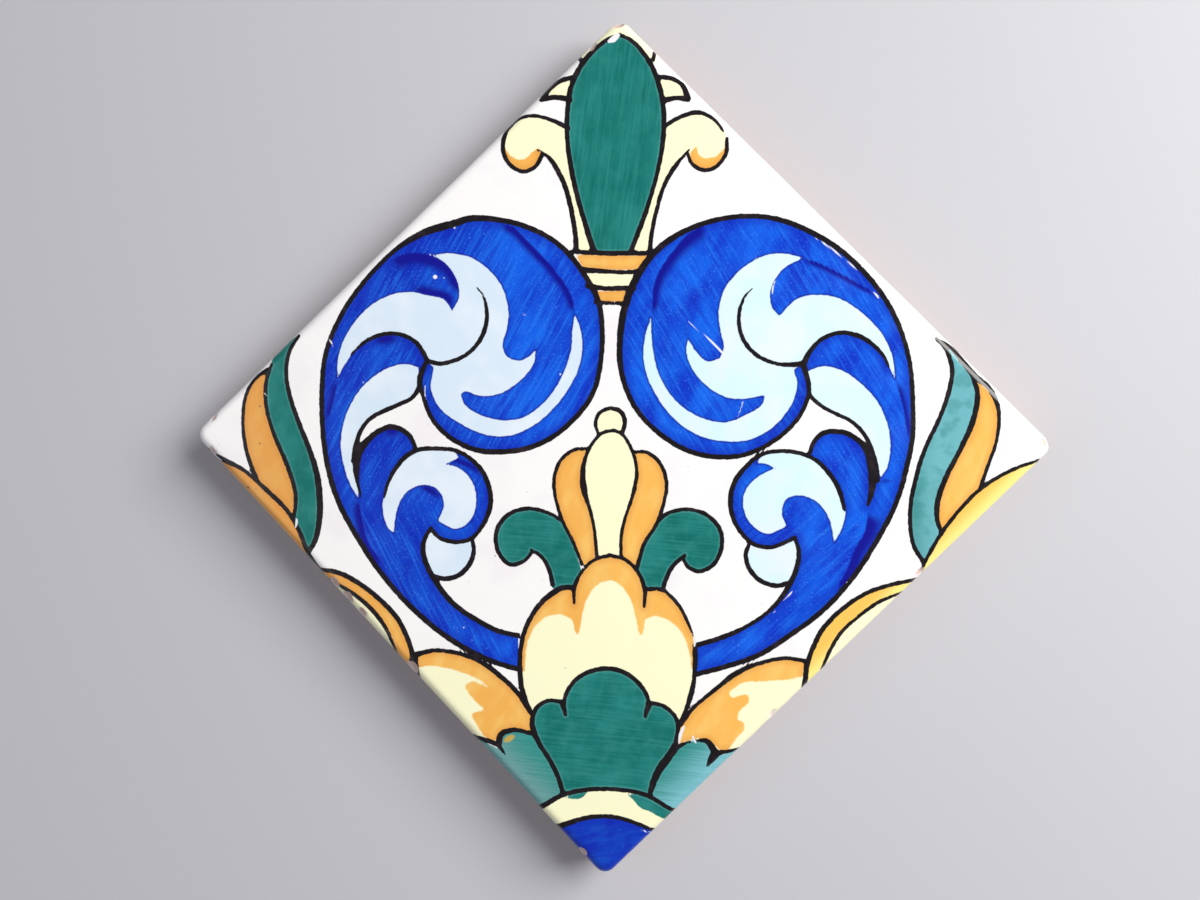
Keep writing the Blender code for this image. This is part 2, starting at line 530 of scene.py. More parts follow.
# %% The outlines of the left volute
INK_LEFT = (
    ("volute, from its knot round to the stem's foot",
     (0.9, 1.1, 1.3, 1.2, 1.2, 1.2, 1.3, 1.2, 1.3, 1.9, 1.1, 1.2, 1.2, 1.2, 1.3, 1.3, 1.2, 1.3,
      1.3, 1.2),
     ((-43.5, 17.8), (-44.6, 13.7), (-43.6, 9.2), (-41.3, 4.4), (-37.0, 0.5), (-31.0, -2.1),
      (-25.6, -2.4), (-19.7, -1.6), (-14.0, 0.9), (-8.4, 5.6), (-4.3, 11.5), (-2.7, 18.5),
      (-2.5, 26.3), (-3.3, 32.0), (-5.4, 36.4), (-9.5, 42.3), (-14.3, 46.7), (-20.6, 49.8),
      (-26.5, 51.3), (-33.5, 51.7), (-38.0, 50.4), (-45.0, 48.2), (-51.2, 44.4), (-56.4, 39.3),
      (-61.2, 33.2), (-64.9, 26.6), (-67.3, 19.7), (-67.9, 12.5), (-67.7, 4.5), (-66.4, -5.0),
      (-63.6, -13.9), (-59.0, -22.1), (-53.4, -30.1), (-46.8, -37.3), (-39.5, -43.4),
      (-31.8, -48.1), (-25.1, -50.8), (-20.2, -52.0))),
    ("volute, the curl inside", (0.3, 0.9, 1.15, 1.0, 1.0, 1.1),
     ((-31.9, 35.6), (-30.3, 33.5), (-29.5, 30.4), (-29.5, 27.4), (-30.6, 23.9), (-33.3, 20.5),
      (-37.2, 18.4), (-40.6, 17.8), (-43.3, 18.5))),
    ("second lobe, its top", (1.2, 1.0, 1.0, 1.0, 0.5),
     ((-43.2, 18.4), (-44.2, 20.4), (-46.2, 22.9), (-49.4, 24.4), (-53.2, 24.6), (-57.0, 23.3),
      (-60.2, 20.8), (-61.3, 19.5))),
    ("second leaf, its underside", (1.2, 1.1, 1.0, 1.1, 1.0, 1.2, 1.4),
     ((-43.6, 17.6), (-44.8, 15.0), (-45.1, 12.0), (-46.6, 9.7), (-49.8, 8.1), (-53.2, 6.6),
      (-56.3, 4.8), (-58.5, 1.9), (-59.5, -1.6), (-59.9, -5.0))),
    ("third lobe, its top", (1.0, 1.2, 1.3, 1.2, 1.6, 2.1, 1.7, 0.8, 0.4),
     ((-45.4, -1.9), (-46.6, 0.5), (-48.7, 2.3), (-51.4, 3.0), (-54.2, 1.9), (-56.8, -0.3),
      (-58.8, -3.0), (-59.3, -6.6), (-58.9, -10.0), (-58.2, -12.6), (-58.2, -13.6))),
    ("small curl", (0.9, 1.0, 1.0, 1.0, 1.2, 1.2, 1.2, 1.0, 1.0, 1.0, 1.1, 1.2, 0.9, 0.6),
     ((-41.4, -20.2), (-39.5, -22.3), (-36.8, -23.2), (-33.8, -23.2), (-31.4, -22.1),
      (-29.0, -18.9), (-27.6, -14.9), (-27.9, -10.9), (-29.7, -6.9), (-32.6, -4.0), (-36.2, -2.2),
      (-40.0, -1.9), (-44.6, -2.2), (-47.6, -3.8), (-50.1, -6.8), (-51.8, -10.4),
      (-52.5, -13.5))),
    ("drop", (0.9, 1.2, 1.2, 1.2, 1.2),
     ((-31.6, -22.6), (-31.2, -25.4), (-32.0, -28.1), (-34.2, -30.7), (-37.4, -31.8),
      (-40.4, -31.4))),
    ("stem, its upper edge", (0.9, 1.3, 1.3, 1.3, 1.2, 1.2, 1.2),
     ((-41.3, -20.2), (-42.9, -23.2), (-42.9, -26.4), (-41.6, -29.8), (-39.2, -33.5),
      (-35.4, -37.7), (-30.3, -41.0), (-25.2, -43.4), (-20.5, -44.4))),
)
print(len(INK_LEFT), "strokes")

# %% [markdown]
# The right volute answers the left one, but a hand painted both, so no stroke is a true mirror
# of its partner. Mirroring the left one would save typing and lose the charm, so the right one
# has places of its own.

# %% The outlines of the right volute
INK_RIGHT = (
    ("volute, from its knot round to the stem's foot",
     (1.0, 1.0, 1.1, 1.2, 1.2, 1.2, 1.5, 1.8, 1.5, 1.2, 1.2, 1.3, 1.3, 1.2, 1.1, 1.1, 1.2, 1.2,
      1.2, 1.2, 1.2, 1.2, 1.2),
     ((43.7, 18.2), (45.1, 13.7), (44.1, 8.9), (41.0, 4.3), (35.4, -0.1), (29.6, -2.4),
      (23.8, -2.7), (17.9, -1.5), (11.8, 1.9), (6.5, 6.9), (3.6, 11.9), (1.9, 17.8), (1.7, 24.5),
      (2.6, 31.1), (4.5, 36.6), (7.6, 42.0), (12.1, 46.5), (18.4, 50.0), (25.3, 52.0),
      (32.3, 52.5), (38.6, 51.5), (45.6, 48.6), (52.0, 44.6), (57.6, 39.3), (62.2, 33.3),
      (65.6, 26.5), (67.7, 19.0), (68.4, 11.0), (68.5, 3.0), (67.2, -4.5), (64.9, -12.6),
      (61.0, -20.5), (55.6, -29.2), (49.0, -36.8), (41.4, -42.8), (34.4, -47.4), (27.5, -50.0),
      (20.3, -52.1))),
    ("volute, the curl inside", (0.3, 0.9, 1.0, 1.0, 0.9, 1.3),
     ((31.8, 35.9), (30.2, 34.0), (29.0, 30.6), (29.0, 27.2), (30.3, 23.6), (33.2, 20.5),
      (37.2, 18.8), (41.0, 18.5), (43.6, 18.8))),
    ("second lobe, its top", (1.4, 1.0, 1.0, 1.1, 1.0, 0.6),
     ((43.8, 18.8), (45.3, 21.8), (48.1, 24.6), (51.6, 25.9), (55.6, 25.4), (59.2, 23.4),
      (62.0, 20.4), (62.9, 18.3))),
    ("second leaf, its underside", (1.4, 1.0, 0.9, 0.9, 1.0, 1.1, 1.4),
     ((43.9, 18.0), (44.9, 14.6), (45.2, 11.9), (47.1, 9.8), (50.7, 7.7), (54.2, 6.1),
      (57.1, 3.6), (59.1, 0.2), (60.3, -4.0), (60.6, -7.4))),
    ("third lobe, its top", (1.0, 1.1, 1.2, 1.2, 1.2, 1.4, 2.0, 2.0, 1.4, 0.7),
     ((45.5, -1.4), (46.3, 1.0), (48.4, 3.1), (51.2, 3.5), (54.2, 2.9), (57.0, 0.9), (58.8, -2.0),
      (59.6, -6.0), (59.4, -10.0), (58.6, -13.1))),
    ("small curl", (0.9, 1.0, 1.0, 1.0, 1.1, 1.2, 1.2, 1.1, 1.0, 1.0, 1.0, 1.0, 1.1, 1.2, 0.8),
     ((42.4, -20.6), (40.0, -21.9), (36.8, -23.0), (33.3, -22.5), (30.6, -20.3), (28.4, -16.8),
      (27.6, -12.6), (28.6, -8.2), (31.2, -4.7), (34.4, -2.1), (38.4, -1.2), (43.0, -1.5),
      (46.8, -3.1), (50.0, -6.2), (52.2, -9.8), (53.4, -14.2))),
    ("drop", (1.0, 1.1, 1.1, 1.1, 1.1),
     ((32.0, -22.4), (31.3, -25.0), (32.3, -28.2), (35.1, -30.8), (38.6, -31.6), (41.2, -30.9))),
    ("stem, its upper edge", (0.9, 1.2, 1.2, 0.9, 0.9, 1.2, 1.2),
     ((42.4, -20.6), (43.3, -24.2), (42.6, -28.3), (40.3, -33.1), (36.6, -37.5), (31.7, -41.0),
      (25.9, -43.7), (20.1, -45.6))),
)
print(len(INK_RIGHT), "strokes")

# %% [markdown]
# Up the middle stand a bud between two curls, a collar of four lines, a ball, a bulb with two
# petals, two green curls, a flower and a shell on its base.

# %% The outlines up the middle
INK_MID = (
    ("bud, left side", (0.8, 1.3, 1.3, 1.2, 1.1, 1.2, 1.2, 1.2, 1.5),
     ((0.6, 94.6), (-2.1, 93.9), (-5.4, 91.5), (-8.2, 88.2), (-10.7, 83.1), (-11.6, 76.9),
      (-11.5, 70.3), (-10.4, 63.2), (-8.9, 57.0), (-7.0, 50.8), (-4.8, 44.2))),
    ("bud, right side", (0.9, 1.1, 1.2, 1.2, 1.2, 1.0, 1.0, 1.2, 1.2),
     ((0.2, 94.8), (3.0, 93.4), (5.9, 90.4), (8.8, 85.3), (10.6, 78.5), (10.9, 71.9),
      (10.2, 65.6), (8.4, 57.7), (6.4, 51.3), (3.8, 44.2))),
    ("left bract, above", (1.4, 1.5, 1.2),
     ((-17.6, 79.7), (-16.5, 81.5), (-14.7, 83.4), (-12.7, 84.3), (-10.4, 84.7))),
    ("left bract, below", (1.3, 1.2, 1.5), ((-17.7, 79.6), (-14.6, 80.1), (-11.2, 79.6))),
    ("right bract, above", (1.2, 1.1, 1.5),
     ((9.2, 84.8), (12.2, 84.5), (15.0, 83.0), (16.4, 79.7))),
    ("right bract, below", (1.5, 1.1, 1.4), ((11.0, 79.4), (13.8, 79.9), (16.4, 79.6))),
    ("left corner tick", (1.1, 0.8), ((-9.2, 89.7), (-8.0, 87.8))),
    ("right corner tick", (0.9, 0.9), ((8.4, 90.8), (8.2, 88.7))),
    ("left curl", (1.2, 1.0, 0.9, 0.9, 1.1, 1.1, 1.0, 1.0, 1.0),
     ((-11.4, 72.9), (-14.4, 74.4), (-18.7, 75.7), (-22.7, 75.3), (-25.8, 72.3), (-26.5, 67.7),
      (-24.6, 64.1), (-21.5, 62.7), (-18.8, 63.9), (-17.3, 66.6))),
    ("left curl, its arm", (0.5, 1.2, 1.2, 1.2, 1.2, 1.3),
     ((-18.5, 67.9), (-15.7, 66.0), (-13.2, 62.3), (-11.3, 57.9), (-9.9, 52.3), (-9.0, 46.8),
      (-8.9, 44.2))),
    ("right curl", (1.0, 1.0, 1.1, 0.9, 0.6),
     ((10.9, 73.2), (13.9, 75.1), (18.7, 76.5), (22.2, 75.1), (24.8, 72.1))),
    ("right curl, its end", (0.9, 1.0, 0.9, 1.0, 1.0, 0.8),
     ((25.5, 70.4), (25.3, 66.8), (23.1, 63.9), (20.2, 63.1), (17.5, 64.6), (16.6, 66.8))),
    ("right curl, its arm", (0.5, 1.2, 1.0, 1.0, 1.0, 1.2),
     ((16.9, 67.8), (13.9, 64.3), (11.2, 59.4), (9.5, 53.4), (8.5, 48.0), (8.2, 44.2))),
    ("collar, first line", (1.1, 1.2, 1.2, 1.1),
     ((-9.8, 44.1), (-3.0, 43.8), (3.0, 43.8), (9.6, 43.9))),
    ("collar, second line", (1.4, 1.1, 1.0, 1.2),
     ((-7.6, 39.9), (-3.0, 39.6), (3.0, 39.4), (6.4, 39.7))),
    ("collar, third line", (1.5, 1.1, 1.2, 1.3),
     ((-5.9, 36.2), (-2.0, 35.6), (2.0, 35.7), (4.6, 35.7))),
    ("collar, fourth line", (1.0, 0.9, 1.0), ((-4.1, 32.4), (0.0, 32.2), (3.4, 32.3))),
    ("ball", (0.8, 0.9, 0.9, 1.1, 1.1, 0.9),
     ((-2.9, 2.0), (-3.6, 4.6), (-2.6, 7.0), (-0.1, 8.0), (2.2, 7.2), (3.2, 5.0), (2.6, 2.3))),
    ("bulb, left side", (0.9, 0.8, 0.8, 1.2, 1.6, 0.9, 0.8, 0.8, 0.9),
     ((0.5, 3.0), (-2.2, 2.2), (-4.2, -0.1), (-5.7, -3.2), (-6.3, -7.1), (-5.9, -10.9),
      (-4.6, -14.9), (-3.6, -18.6), (-3.0, -22.5), (-2.7, -25.7))),
    ("bulb, right side", (0.9, 0.8, 0.8, 1.0, 0.8, 0.8, 0.8),
     ((0.3, 3.0), (2.5, 2.2), (4.6, -0.8), (5.8, -4.2), (6.1, -7.3), (5.2, -12.2), (3.6, -17.3),
      (2.8, -21.6), (2.9, -25.7))),
    ("left petal", (0.8, 0.9, 0.9, 0.8, 0.8, 0.8, 0.8),
     ((-5.2, -1.4), (-8.2, -1.6), (-11.4, -4.0), (-12.9, -8.4), (-12.4, -13.1), (-10.6, -18.3),
      (-8.1, -23.0), (-6.0, -28.0))),
    ("right petal", (0.8, 0.9, 0.9, 0.9, 0.9, 0.9, 1.0),
     ((5.4, -1.9), (8.4, -2.0), (11.5, -4.5), (13.0, -8.9), (12.4, -13.6), (10.7, -18.6),
      (8.2, -22.7), (6.6, -28.2))),
    ("left green curl", (0.7, 0.9, 0.9, 1.0, 1.1, 1.0, 1.0, 1.0, 0.8),
     ((-10.4, -18.4), (-13.2, -16.6), (-18.6, -15.3), (-23.4, -16.8), (-26.0, -20.6),
      (-25.6, -25.1), (-22.7, -28.2), (-19.4, -27.3), (-17.6, -25.2))),
    ("left green curl, its stalk", (0.8, 0.9, 1.0, 1.1),
     ((-17.9, -24.8), (-15.6, -26.1), (-13.7, -29.0), (-12.7, -32.5))),
    ("right green curl", (0.8, 0.9, 0.9, 1.0, 1.0, 1.0, 1.0, 1.0, 0.8),
     ((10.9, -18.0), (13.4, -15.8), (17.6, -14.8), (22.0, -15.8), (25.2, -18.9), (25.9, -22.6),
      (24.1, -27.1), (20.7, -28.8), (18.1, -27.7), (17.0, -25.8))),
    ("right green curl, its stalk", (0.9, 1.0, 1.1, 1.0),
     ((17.5, -25.2), (14.9, -27.6), (13.3, -30.6), (12.6, -33.3))),
    ("flower, middle lobe left", (0.9, 0.8, 0.8, 1.0, 0.7),
     ((0.5, -25.6), (-3.2, -26.7), (-6.0, -29.4), (-7.7, -33.0), (-7.7, -36.7))),
    ("flower, middle lobe right", (0.9, 0.9, 0.9, 1.0, 0.8),
     ((0.1, -25.6), (3.4, -26.3), (6.4, -28.7), (8.4, -32.9), (8.4, -37.0))),
    ("flower, left side", (1.2, 1.4, 1.2, 1.1, 1.1, 1.1, 1.3, 1.2, 1.0),
     ((-8.0, -33.2), (-10.2, -33.2), (-14.3, -35.8), (-17.6, -40.1), (-19.5, -45.4),
      (-19.9, -50.8), (-19.4, -56.0), (-17.9, -60.2), (-16.7, -62.4))),
    ("flower, right side", (1.0, 0.9, 0.9, 0.8, 0.5),
     ((8.6, -33.1), (12.4, -33.2), (16.2, -36.5), (18.7, -41.0), (19.8, -43.6))),
    ("flower, right side below", (1.2, 1.2, 1.0, 1.3, 0.9, 1.0),
     ((20.1, -45.8), (20.2, -50.0), (19.8, -54.9), (18.6, -59.3), (17.4, -62.2), (16.6, -64.3))),
    ("shell, middle lobe", (0.7, 1.0, 1.0, 1.1, 1.1, 1.1, 0.9, 0.5),
     ((-9.3, -62.1), (-9.4, -58.2), (-6.8, -53.9), (-1.7, -51.5), (3.4, -51.8), (8.0, -55.0),
      (9.9, -58.8), (9.2, -62.2))),
    ("shell, left side", (1.0, 0.9, 1.1, 1.4, 1.1, 1.1, 1.1, 1.1),
     ((-9.8, -59.2), (-13.4, -59.0), (-16.0, -60.9), (-16.8, -64.4), (-15.2, -68.4),
      (-12.7, -72.1), (-10.6, -76.0), (-9.3, -79.8))),
    ("shell, right side", (0.9, 1.0, 0.9, 1.1, 1.0, 1.2, 1.1, 1.0),
     ((9.9, -58.6), (13.4, -59.5), (16.2, -62.2), (16.4, -66.4), (14.6, -70.1), (12.1, -73.7),
      (10.7, -77.6), (10.4, -79.9))),
    ("joint of the right lobe", (1.6, 1.3, 0.5), ((9.9, -58.9), (9.5, -60.4), (8.9, -62.0))),
    ("joint of the left lobe", (1.5, 1.2, 0.5), ((-9.8, -59.4), (-9.5, -60.7), (-8.9, -62.2))),
    ("fold of the right base leaf", (1.6, 1.2, 0.5),
     ((24.9, -69.4), (24.3, -70.4), (23.3, -72.5))),
    ("heavy line by the leaf", (1.3, 1.8, 1.3, 1.1),
     ((16.4, -68.6), (15.0, -70.3), (12.3, -74.4), (10.8, -78.4))),
    ("base, upper line", (1.3, 1.1, 1.0, 1.0, 1.0),
     ((-14.6, -83.2), (-9.3, -80.1), (-3.4, -78.7), (3.4, -78.5), (9.3, -79.4), (16.5, -83.2))),
    ("base, lower line", (1.5, 1.1, 1.0, 1.0, 0.8),
     ((-11.6, -88.0), (-7.2, -86.1), (-3.0, -84.9), (2.0, -84.6), (7.2, -85.8), (11.6, -87.5))),
    ("left base petal", (1.3, 1.0, 1.0, 1.1, 1.2, 1.1, 1.2),
     ((-44.4, -49.4), (-40.0, -48.3), (-34.7, -48.7), (-29.4, -50.4), (-24.5, -53.6),
      (-20.3, -57.4), (-17.3, -61.6))),
    ("left base petal, its end", (1.2, 1.5), ((-44.2, -49.6), (-43.9, -54.6))),
    ("right base petal", (1.0, 0.9, 1.0, 1.3, 1.0, 0.9, 1.2),
     ((45.5, -48.4), (40.7, -47.9), (35.0, -49.1), (29.8, -51.4), (24.9, -55.3), (20.1, -59.5),
      (17.1, -63.4))),
    ("right base petal, its end", (1.2, 1.3), ((45.4, -48.6), (45.0, -54.4))),
    ("left base petal, below", (0.8, 1.0, 1.2, 1.0, 0.4),
     ((-31.6, -67.4), (-28.4, -68.1), (-25.6, -68.9), (-24.2, -69.7), (-22.8, -71.6))),
    ("left base leaf, above", (1.5, 1.3, 1.0, 1.0),
     ((-24.4, -69.0), (-24.0, -67.0), (-20.8, -65.8), (-16.6, -66.6))),
    ("right base petal, below", (0.5, 0.9, 1.1, 1.4, 0.5),
     ((30.6, -68.5), (28.2, -69.1), (25.8, -69.6), (24.8, -70.6), (23.5, -72.5))),
    ("right base leaf, above", (0.6, 1.3, 1.6), ((20.5, -66.9), (23.2, -67.0), (25.0, -69.2))),
    ("right base leaf, above left", (0.5, 1.0, 1.0),
     ((19.7, -67.1), (17.2, -68.1), (14.9, -69.9))),
)
print(len(INK_MID), "strokes")

# %% [markdown]
# The left and right corners carry a leaf with a petal each, and two bands that run on to the
# next tile.

# %% The outlines in the left and right corners
INK_SIDES = (
    ("left leaf, inner side", (1.0, 1.0, 1.0, 1.1, 1.1, 1.2, 1.4, 1.6, 1.5, 1.3, 1.2),
     ((-74.0, 23.9), (-76.0, 20.1), (-76.6, 15.6), (-75.6, 9.9), (-73.3, 3.8), (-70.7, -2.2),
      (-68.7, -7.9), (-67.8, -13.2), (-67.7, -19.0), (-68.6, -23.8), (-70.2, -26.5))),
    ("left leaf, outer side", (0.8, 1.0, 0.9, 1.0, 1.1, 1.0, 0.9),
     ((-80.2, 17.2), (-81.4, 12.4), (-80.9, 6.2), (-78.5, -0.5), (-75.6, -6.6), (-73.5, -13.2),
      (-73.7, -18.2))),
    ("left petal, outer side", (1.1, 0.9, 0.8, 0.9, 1.0, 1.2),
     ((-81.0, 15.9), (-83.8, 14.1), (-86.1, 9.8), (-86.6, 3.6), (-85.5, -3.3), (-83.0, -9.7))),
    ("left strip", (1.5, 1.3, 0.9, 1.1, 1.1, 1.0, 1.2, 1.4),
     ((-96.2, -2.8), (-91.8, -5.0), (-86.2, -7.6), (-80.5, -12.2), (-75.6, -16.7), (-72.3, -21.8),
      (-70.2, -26.8), (-67.8, -30.5))),
    ("left lower strip, above", (0.9, 1.2, 1.2, 1.2, 1.2, 1.2, 1.2, 1.3),
     ((-67.8, -30.3), (-62.9, -31.0), (-58.0, -33.3), (-53.1, -36.8), (-48.9, -40.9),
      (-46.3, -45.5), (-45.0, -49.4), (-45.6, -52.8))),
    ("left lower strip, below", (0.6, 0.9, 1.1, 1.1, 0.9, 0.6),
     ((-65.4, -32.6), (-60.1, -35.2), (-55.2, -38.9), (-51.6, -43.1), (-49.5, -47.6),
      (-48.6, -50.4))),
    ("right leaf, inner side", (0.9, 1.1, 1.1, 1.0, 1.0, 1.1, 1.0, 1.0, 1.0),
     ((73.6, 24.8), (75.6, 22.6), (77.1, 18.0), (76.4, 12.6), (74.2, 6.3), (71.2, -0.4),
      (69.1, -7.6), (68.1, -14.2), (68.8, -21.4), (71.1, -25.6))),
    ("right leaf, along the edge", (0.6, 1.4, 1.6, 1.3, 0.9, 0.8, 0.8, 0.9),
     ((73.6, 24.7), (76.8, 23.0), (79.8, 19.4), (82.4, 16.3), (85.4, 13.9), (87.5, 9.0),
      (87.2, 2.2), (85.0, -4.5), (83.4, -9.3))),
    ("right leaf, outer side", (1.0, 1.3, 1.3, 1.1, 1.2, 1.3, 0.9),
     ((81.8, 16.2), (82.8, 12.4), (81.9, 6.3), (79.2, 0.0), (76.3, -5.8), (74.3, -11.5),
      (74.1, -15.8), (75.2, -19.2))),
    ("right strip", (0.7, 0.9, 0.9, 0.9, 0.9, 0.9, 0.7),
     ((96.8, -2.2), (90.3, -4.7), (84.1, -8.6), (79.2, -13.6), (74.7, -19.7), (71.8, -25.1),
      (70.5, -28.6))),
    ("right lower strip, above", (0.9, 1.0, 1.0, 1.1, 1.2, 1.0),
     ((69.9, -29.5), (64.0, -30.8), (58.4, -32.9), (53.1, -36.6), (48.9, -41.1), (46.3, -46.5),
      (45.3, -50.6))),
    ("right lower strip, below", (0.6, 0.9, 0.8, 0.9, 0.8),
     ((67.4, -32.3), (61.6, -34.6), (57.0, -38.0), (53.0, -41.8), (50.6, -45.8), (48.9, -50.2))),
)
print(len(INK_SIDES), "strokes")

# %% [markdown]
# The colours lie inside the outlines, but a painter in a hurry doesn't fill them exactly. Each
# area is a closed loop of its own. A third value marks a sharp corner of the loop. The pale
# blue is a thin wash on the light side of each leaf of the volutes.

# %% Pale blue areas
PALE = (
    ("left big leaf",
     ((-42.6, 43.1, 1), (-38.6, 43.5), (-33.4, 42.5), (-29.0, 39.5), (-25.8, 35.3), (-24.4, 30.0),
      (-24.7, 26.0), (-25.6, 22.4), (-24.7, 19.8), (-21.8, 18.7), (-19.6, 19.5), (-17.8, 21.2, 1),
      (-18.4, 17.8), (-21.8, 13.7), (-26.2, 11.0), (-30.8, 10.5), (-34.2, 11.5), (-35.2, 10.6, 1),
      (-34.1, 8.3), (-30.6, 6.1), (-25.5, 4.9), (-20.6, 5.5), (-15.5, 9.2), (-11.7, 14.9),
      (-9.6, 21.3), (-9.3, 26.5), (-8.9, 29.5, 1), (-7.5, 26.0), (-7.1, 20.5), (-8.3, 15.7),
      (-12.0, 9.5), (-17.0, 4.5), (-23.0, 1.5), (-29.0, 1.5), (-35.4, 4.2), (-40.0, 7.6),
      (-42.2, 12.2), (-41.8, 17.0), (-43.4, 18.3, 1), (-46.2, 22.9), (-49.4, 24.4), (-53.2, 24.6),
      (-57.0, 23.3), (-60.2, 20.8), (-62.4, 17.8), (-64.3, 14.3, 1), (-64.3, 18.6), (-62.4, 24.4),
      (-57.9, 30.3), (-52.5, 33.6), (-47.6, 34.4), (-43.4, 33.6), (-39.6, 32.7), (-37.6, 30.1, 1),
      (-36.0, 33.4), (-36.8, 37.7), (-39.5, 41.3))),
    ("left second leaf",
     ((-45.2, 16.9, 1), (-48.5, 17.6), (-53.4, 16.1), (-58.2, 12.3), (-61.7, 6.4), (-63.1, -0.5),
      (-62.2, -6.3), (-60.5, -10.7), (-58.6, -13.7, 1), (-58.9, -10.0), (-59.5, -5.0),
      (-59.5, -1.6), (-58.5, 1.9), (-56.3, 4.8), (-53.2, 6.6), (-49.8, 8.1), (-46.6, 9.7),
      (-45.1, 12.0))),
    ("left small leaf",
     ((-44.6, -2.2), (-40.0, -1.9), (-36.8, -2.3), (-35.2, -3.9, 1), (-38.5, -5.5, 1),
      (-35.4, -6.2), (-32.4, -8.7), (-30.9, -13.2), (-32.0, -18.0), (-35.4, -20.3),
      (-39.7, -18.6, 1), (-38.4, -14.6), (-40.0, -11.3), (-43.1, -10.3), (-46.9, -11.7),
      (-49.3, -15.6), (-50.1, -21.5, 1), (-51.5, -20.2), (-52.8, -15.8), (-51.8, -10.4),
      (-50.1, -6.8), (-47.6, -3.8))),
    ("left drop",
     ((-41.5, -20.6, 1), (-39.5, -22.3), (-36.8, -23.2), (-33.8, -23.2), (-31.6, -22.6, 1),
      (-31.2, -25.4), (-32.0, -28.1), (-34.2, -30.7), (-37.4, -31.8), (-40.7, -31.4, 1),
      (-41.9, -29.4), (-42.9, -26.4), (-42.9, -23.2))),
    ("right big leaf",
     ((43.2, 43.0, 1), (39.0, 43.9), (34.6, 43.4), (29.6, 40.5), (25.7, 35.9), (24.3, 30.6),
      (24.9, 25.6), (25.6, 22.2), (24.6, 19.7, 1), (22.0, 19.0), (19.4, 21.0), (17.4, 24.0, 1),
      (17.0, 21.4), (18.8, 16.8), (22.0, 13.3), (26.4, 10.9), (30.9, 10.7), (35.2, 11.6, 1),
      (34.4, 9.2), (31.0, 7.0), (26.5, 5.2), (21.0, 6.0), (15.3, 9.4), (11.3, 14.8), (9.3, 21.5),
      (8.7, 29.0, 1), (7.4, 24.0), (7.4, 18.2), (9.8, 12.0), (14.4, 5.9), (20.0, 2.2),
      (26.0, 0.9), (32.0, 1.4), (37.4, 4.6), (41.3, 9.8), (42.4, 14.6), (41.6, 17.4),
      (43.6, 18.6, 1), (45.3, 21.8), (48.1, 24.6), (51.6, 25.9), (55.6, 25.4), (59.2, 23.4),
      (62.0, 20.4), (64.4, 15.5, 1), (63.8, 20.4), (61.4, 25.6), (56.9, 30.4), (51.6, 33.7),
      (46.6, 34.5), (42.0, 33.5), (38.1, 29.5, 1), (36.2, 32.0), (36.1, 36.0), (38.6, 40.2))),
    ("right second leaf",
     ((44.6, 17.0, 1), (48.2, 18.2), (52.4, 17.3), (57.0, 14.2), (61.0, 9.5), (63.4, 2.6),
      (62.9, -4.2), (61.5, -6.7, 1), (60.4, -4.0), (59.1, 0.2), (57.1, 3.6), (54.2, 6.1),
      (50.7, 7.7), (47.1, 9.8), (45.2, 11.9), (44.9, 14.6))),
    ("right small leaf",
     ((46.8, -3.1), (43.0, -1.5), (38.4, -1.2), (35.2, -2.0), (33.4, -3.9, 1), (35.8, -4.2),
      (37.8, -5.1, 1), (34.6, -6.6), (31.4, -9.6), (30.5, -13.4), (32.2, -17.6), (36.0, -19.9),
      (40.4, -18.2, 1), (39.3, -15.2), (40.2, -12.1), (43.1, -11.1), (47.1, -12.4), (50.0, -16.2),
      (51.2, -21.5, 1), (52.9, -18.3), (53.6, -14.4), (52.2, -9.8), (50.0, -6.2))),
    ("right drop",
     ((42.3, -20.8, 1), (40.0, -21.9), (36.8, -23.0), (33.3, -22.5), (32.0, -22.4, 1),
      (31.3, -25.0), (32.3, -28.2), (35.1, -30.8), (38.6, -31.6), (41.6, -30.9, 1), (42.6, -28.3),
      (43.3, -24.2))),
)
print(len(PALE), "areas")

# %% [markdown]
# A thin yellow was laid first under everything that would be orange. It still shows where the
# orange stops short of the outline.

